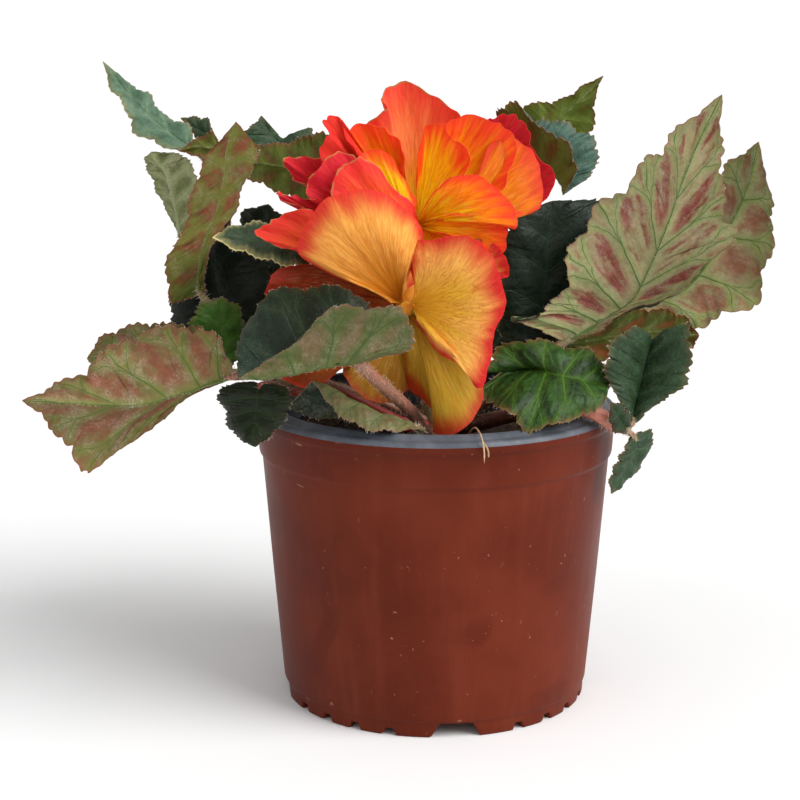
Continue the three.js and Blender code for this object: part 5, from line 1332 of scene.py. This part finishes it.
def far_petals():
    """The petals on the far side stand in two tiers on half circles, at the angles
    pi (i + 1/2) / count. Each rim point lies at a turn g from the petal's middle line, at the
    distance length * (1 - |sin g|³ / 2)."""
    found = []
    tiers = (((-10, -12, 160), 4, 0.45, 33), ((-8, -6, 168), 3, 1.1, 30))
    turn = np.radians([-50, -38, -20, 0, 20, 38, 50])[:, None]
    for root, count, lean, length in tiers:
        for i in range(count):
            angle = math.pi * (i + 0.5) / count
            out = unit(np.array([math.cos(angle), 0.8 * math.sin(angle), lean]))
            side = np.array([-math.sin(angle), math.cos(angle), 0])
            reach = length * (1 - 0.5 * np.abs(np.sin(turn)) ** 3)
            rim = np.array(root) + out * reach * np.cos(turn) + side * reach * np.sin(turn)
            found.append({"base": root, "rim": rim, "belly": (0, -2, -4), "tint": "far"})
    return found


def petal_surface(petal, seed):
    """A petal on a grid (place round the rim f, place outwards s):
    P = base + (rim(f) - base) s + belly * 4s(1 - s), then moved along its normal by a ruffle
    s³ (sin(4.4 pi f + phase) + sin(10.6 pi f + phase) / 2), by shallow pleats
    sin(18 pi f) 4s(1 - s) and by a soft outward roll of the last stretch, ((s - 0.8) / 0.2)²."""
    draw = np.random.default_rng(seed)
    rim_points = np.array(petal["rim"], float)
    base = np.array(petal["base"], float)
    around, outwards = NEAR_GRID if petal["tint"] != "far" else FAR_GRID
    f = np.linspace(0, 1, around)
    s = np.linspace(0.03, 1, outwards) ** 0.9
    rim = curve(rim_points, f)
    length = np.linalg.norm(rim - base, axis=1).mean()
    width = np.linalg.norm(np.diff(rim, axis=0), axis=1).sum()
    jag = 1 - 0.016 * ripple(np.stack([f * width, 0 * f, 0 * f + 9 * seed], axis=-1), 3.5, seed)
    reach = (rim - base) * jag[:, None]
    S, F = s[None, :], f[:, None]
    belly = np.array(petal["belly"]) * (4 * S * (1 - S))[..., None]
    points = base + reach[:, None] * S[..., None] + belly
    normals = grid_normals(points)
    edge = smooth_step(0, 0.1, F) * smooth_step(0, 0.1, 1 - F)
    start, fine_start = draw.uniform(0, 6, 2)
    waves = np.sin(2 * math.pi * 2.2 * F + start) + 0.5 * np.sin(2 * math.pi * 5.3 * F + fine_start)
    ruffle = petal.get("ruffle", PETAL_RUFFLE) * length * S ** 3 * waves
    pleats = 0.12 * np.sin(2 * math.pi * 9 * F) * (1 - S) * S * 4
    roll = PETAL_ROLL * np.clip((S - 0.8) / 0.2, 0, 1) ** 2
    convex = np.sign((normals.mean(axis=(0, 1)) * np.array(petal["belly"])).sum()) or 1
    points = points + normals * (ruffle + pleats + convex * roll * edge)[..., None]
    normals = grid_normals(points)
    thin = (PETAL_HALF_THICKNESS * (1 - 0.45 * S ** 4) + 0 * F)[..., None]
    return points + normals * thin, points - normals * thin, F + 0 * S, S + 0 * F


def petal_tones(tint, f, s, seed):
    """Colour over a petal: from the heart colour through the middle to the rim colour along s,
    the border between them shifted by an uneven field and by rays that run outwards, then a
    line of a deeper red in the last stretch before the rim."""
    *tones, (low, high), look = TINTS[tint]
    grid = np.stack([f * 6, s * 1.2, 0 * f], axis=-1)
    uneven = ripple(grid, 1.1, seed) * 0.07
    rays = np.stack([f * 6, s * 0.25, 0 * f], axis=-1)
    uneven = uneven + ripple(rays, 0.3, seed + 1) * look.get("rays", 0.05)
    side = 0.5 - np.abs(f - 0.5)
    grown = smooth_step(0.2, 0.8, s)
    margin = np.minimum(1 - s, side * 1.3 * grown + 0.6 * (1 - grown))
    place = s + uneven
    heart, middle, rim = (np.array(colour(*tone)) for tone in tones)
    soft = look.get("soft", 0.3)
    tone = heart + (middle - heart) * smooth_step(low - soft, low + soft, place)[..., None]
    to_rim = smooth_step(1 - high, 0.0, margin + uneven * 0.6)
    tone = tone + (rim - tone) * to_rim[..., None]
    line = smooth_step(0.035, 0.008, margin) * smooth_step(0.25, 0.5, s) * look.get("line", 0.5)
    return tone + (np.array(colour(226, 40, 40)) - tone) * line[..., None], margin


def petal_silk():
    """Petal skin: the drawn colours, fine veins that fan out from the base, pale painted highlights
    on the ridges between them, a few brown specks, a tan dry line at the very rim where the petal
    has one, and a soft sheen."""
    finish = Finish("petal silk")
    times, plus, read = finish.times, finish.plus, finish.read
    span, blend, noise = finish.span, finish.blend, finish.noise
    fan, out, margin = read("fan"), read("out"), read("margin")
    dry = read("dry")
    where = finish.place()
    tone = read("tone", "Color")
    wander = times(noise(where, 120, 2, 0.5), 0.9)
    lines_at = finish.add("CombineXYZ", {"X": plus(fan, wander), "Y": times(out, 1.6), "Z": 0.0})
    streaks = noise(lines_at, 3.2, 3, 0.6)
    light = blend(span(streaks, 0.3, 0.72), (0.88, 0.78, 0.7, 1), (1.1, 1.16, 1.2, 1))
    base = blend(1.0, tone, light, "MULTIPLY")
    fine = noise(lines_at, 5.0, 2, 0.6)
    fading = span(out, 0.15, 1.0, 0.5, 0.12)
    vein = times(span(fine, 0.53, 0.63), fading)
    base = blend(vein, base, colour(200, 84, 22))
    fading = span(out, 0.55, 0.95, 0.14, 0.03)
    # Painted highlight: pale lines along the raised ridges, fading towards the rim.
    ridge_highlight = times(span(fine, 0.5, 0.34), fading)
    base = blend(ridge_highlight, base, colour(255, 206, 132))
    across = finish.add("CombineXYZ", {"X": times(fan, 1.2), "Y": times(out, 22.0), "Z": wander})
    net = times(span(noise(across, 1.5, 3, 0.6), 0.56, 0.68),
                span(noise(where, 45, 2, 0.5), 0.42, 0.58))
    base = blend(times(net, read("netted")), base, colour(186, 92, 34))
    wrinkle = noise(finish.place(scale=(0.5, 1, 1.6)), 260, 3, 0.6, 0.8)
    specks = finish.cells(where, 190, "F1")
    rare = noise(where, 75, 2, 0.5)
    speck = times(span(specks, 0.04, 0.13, 1, 0), span(rare, 0.6, 0.68))
    base = blend(times(speck, 0.55), base, colour(150, 70, 30))
    tan = times(span(plus(margin, times(wander, 0.03)), 0.02, 0.04, 1, 0), dry)
    base = blend(times(tan, span(wrinkle, 0.4, 0.55)), base, colour(176, 112, 70))
    finish.set(base_color=base, roughness=span(streaks, 0.3, 0.7, 0.5, 0.62))
    height = plus(streaks, times(wrinkle, 0.6))
    finish.set(normal=finish.bump(height, 0.35, 0.00045), specular_ior_level=0.12)
    finish.scatter(0.35, (2.0, 0.9, 0.25))
    return finish.material


gathered = Gathering()
for order, petal in enumerate(PETALS + far_petals()):
    top, bottom, f, s = petal_surface(petal, seed=200 + order)
    length = np.linalg.norm(top[:, -1] - top[:, 0], axis=-1).mean()
    rim_length = np.linalg.norm(np.diff(top[:, -1], axis=0), axis=1).sum()
    tone, margin = petal_tones(petal["tint"], f, s, seed=300 + 2 * order)
    points, faces, _ = closed_skin(top, bottom)
    fan = f * rim_length / FAN_STEP + FAN_SHIFT * order
    gathered.add(points, faces, tone=np.tile(tone.reshape(-1, 4), (2, 1)),
                 fan=np.tile(fan.ravel(), 2), out=np.tile(s.ravel(), 2),
                 margin=np.tile(margin.ravel() * length / USUAL_LENGTH, 2), dry=petal.get("dry", 0),
                 netted=petal.get("netted", 0))
core = tube([RECEPTACLE, (-9, -12, 160), HEART], CORE_RADIUS, ((0, 1), (0.5, 0.82), (1, 0.55)))[0]
for lump in (core, crown_knob(RECEPTACLE, 3 * (CORE_END,), seed=61)):
    gathered.add(lump, tube_faces(lump), tone=np.tile(colour(*CORE_TONE), (lump.size // 3, 1)),
                 fan=0.5, out=0.5, margin=0.5, dry=0, netted=0)
bloom = gathered.put("begonia_bloom", [petal_silk()])
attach(bloom, "root")
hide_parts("bloom")

# ======================================================================================
# The studio
# A pale floor under soft light from the upper right, seen from slightly above.
# ======================================================================================
CAMERA_PLACE = (-13.2, -687.0, 255.0)
CAMERA_PITCH = 11.87
CAMERA_LENS = 85.0
SENSOR_WIDTH = 36.0
FLOOR_HALF = 600.0

floor_mesh = bpy.data.meshes.new("studio_floor")
corners = [(x * FLOOR_HALF, y * FLOOR_HALF, 0) for x, y in ((-1, -1), (1, -1), (1, 1), (-1, 1))]
floor_mesh.from_pydata(corners, [], [(0, 1, 2, 3)])
floor_finish = Finish("pale floor")
floor_grain = floor_finish.noise(floor_finish.place(), 3, 2, 0.5)
floor_tone = floor_finish.blend(floor_finish.span(floor_grain, 0.3, 0.7), grey(0.93), grey(0.96))
floor_finish.set(base_color=floor_tone, roughness=0.9, specular_ior_level=0.1)
floor_mesh.materials.append(floor_finish.material)
floor = bpy.data.objects.new("studio_floor", floor_mesh)
bpy.context.scene.collection.objects.link(floor)

world = bpy.data.worlds.new("studio")
world.use_nodes = True
sky, sky_links = world.node_tree.nodes, world.node_tree.links
height = sky.new("ShaderNodeSeparateXYZ")
sky_links.new(sky.new("ShaderNodeTexCoord").outputs["Generated"], height.inputs[0])
glow = sky.new("ShaderNodeMapRange")
sky_links.new(height.outputs["Z"], glow.inputs["Value"])
for socket, value in (("From Min", 0.0), ("From Max", 0.12), ("To Min", 1.05), ("To Max", 0.5)):
    glow.inputs[socket].default_value = value
sky_links.new(glow.outputs["Result"], sky["Background"].inputs["Strength"])
sky["Background"].inputs["Color"].default_value = (1, 1, 1, 1)
bpy.context.scene.world = world


def soft_sun(name, place, strength, spread):
    """Light from far away in the direction of place, spread over an angle in degrees."""
    data = bpy.data.lights.new(name, "SUN")
    data.energy = strength
    data.angle = math.radians(spread)
    lamp = bpy.data.objects.new(name, data)
    x, y, z = place
    lamp.rotation_euler = (math.atan2(math.hypot(x, y), z), 0, math.atan2(-x, y) + math.pi)
    bpy.context.scene.collection.objects.link(lamp)


soft_sun("key light", (0.95, -0.5, 0.85), strength=2.9, spread=45)
soft_sun("fill light", (-0.5, -1.0, 0.6), strength=0.45, spread=90)

camera_data = bpy.data.cameras.new("camera")
camera_data.lens = CAMERA_LENS
camera_data.sensor_width = SENSOR_WIDTH
camera = bpy.data.objects.new("camera", camera_data)
camera.location = [value * MM for value in CAMERA_PLACE]
camera.rotation_euler = (math.radians(90 - CAMERA_PITCH), 0, 0)
bpy.context.scene.collection.objects.link(camera)
bpy.context.scene.camera = camera
bpy.context.scene.view_settings.view_transform = "Standard"
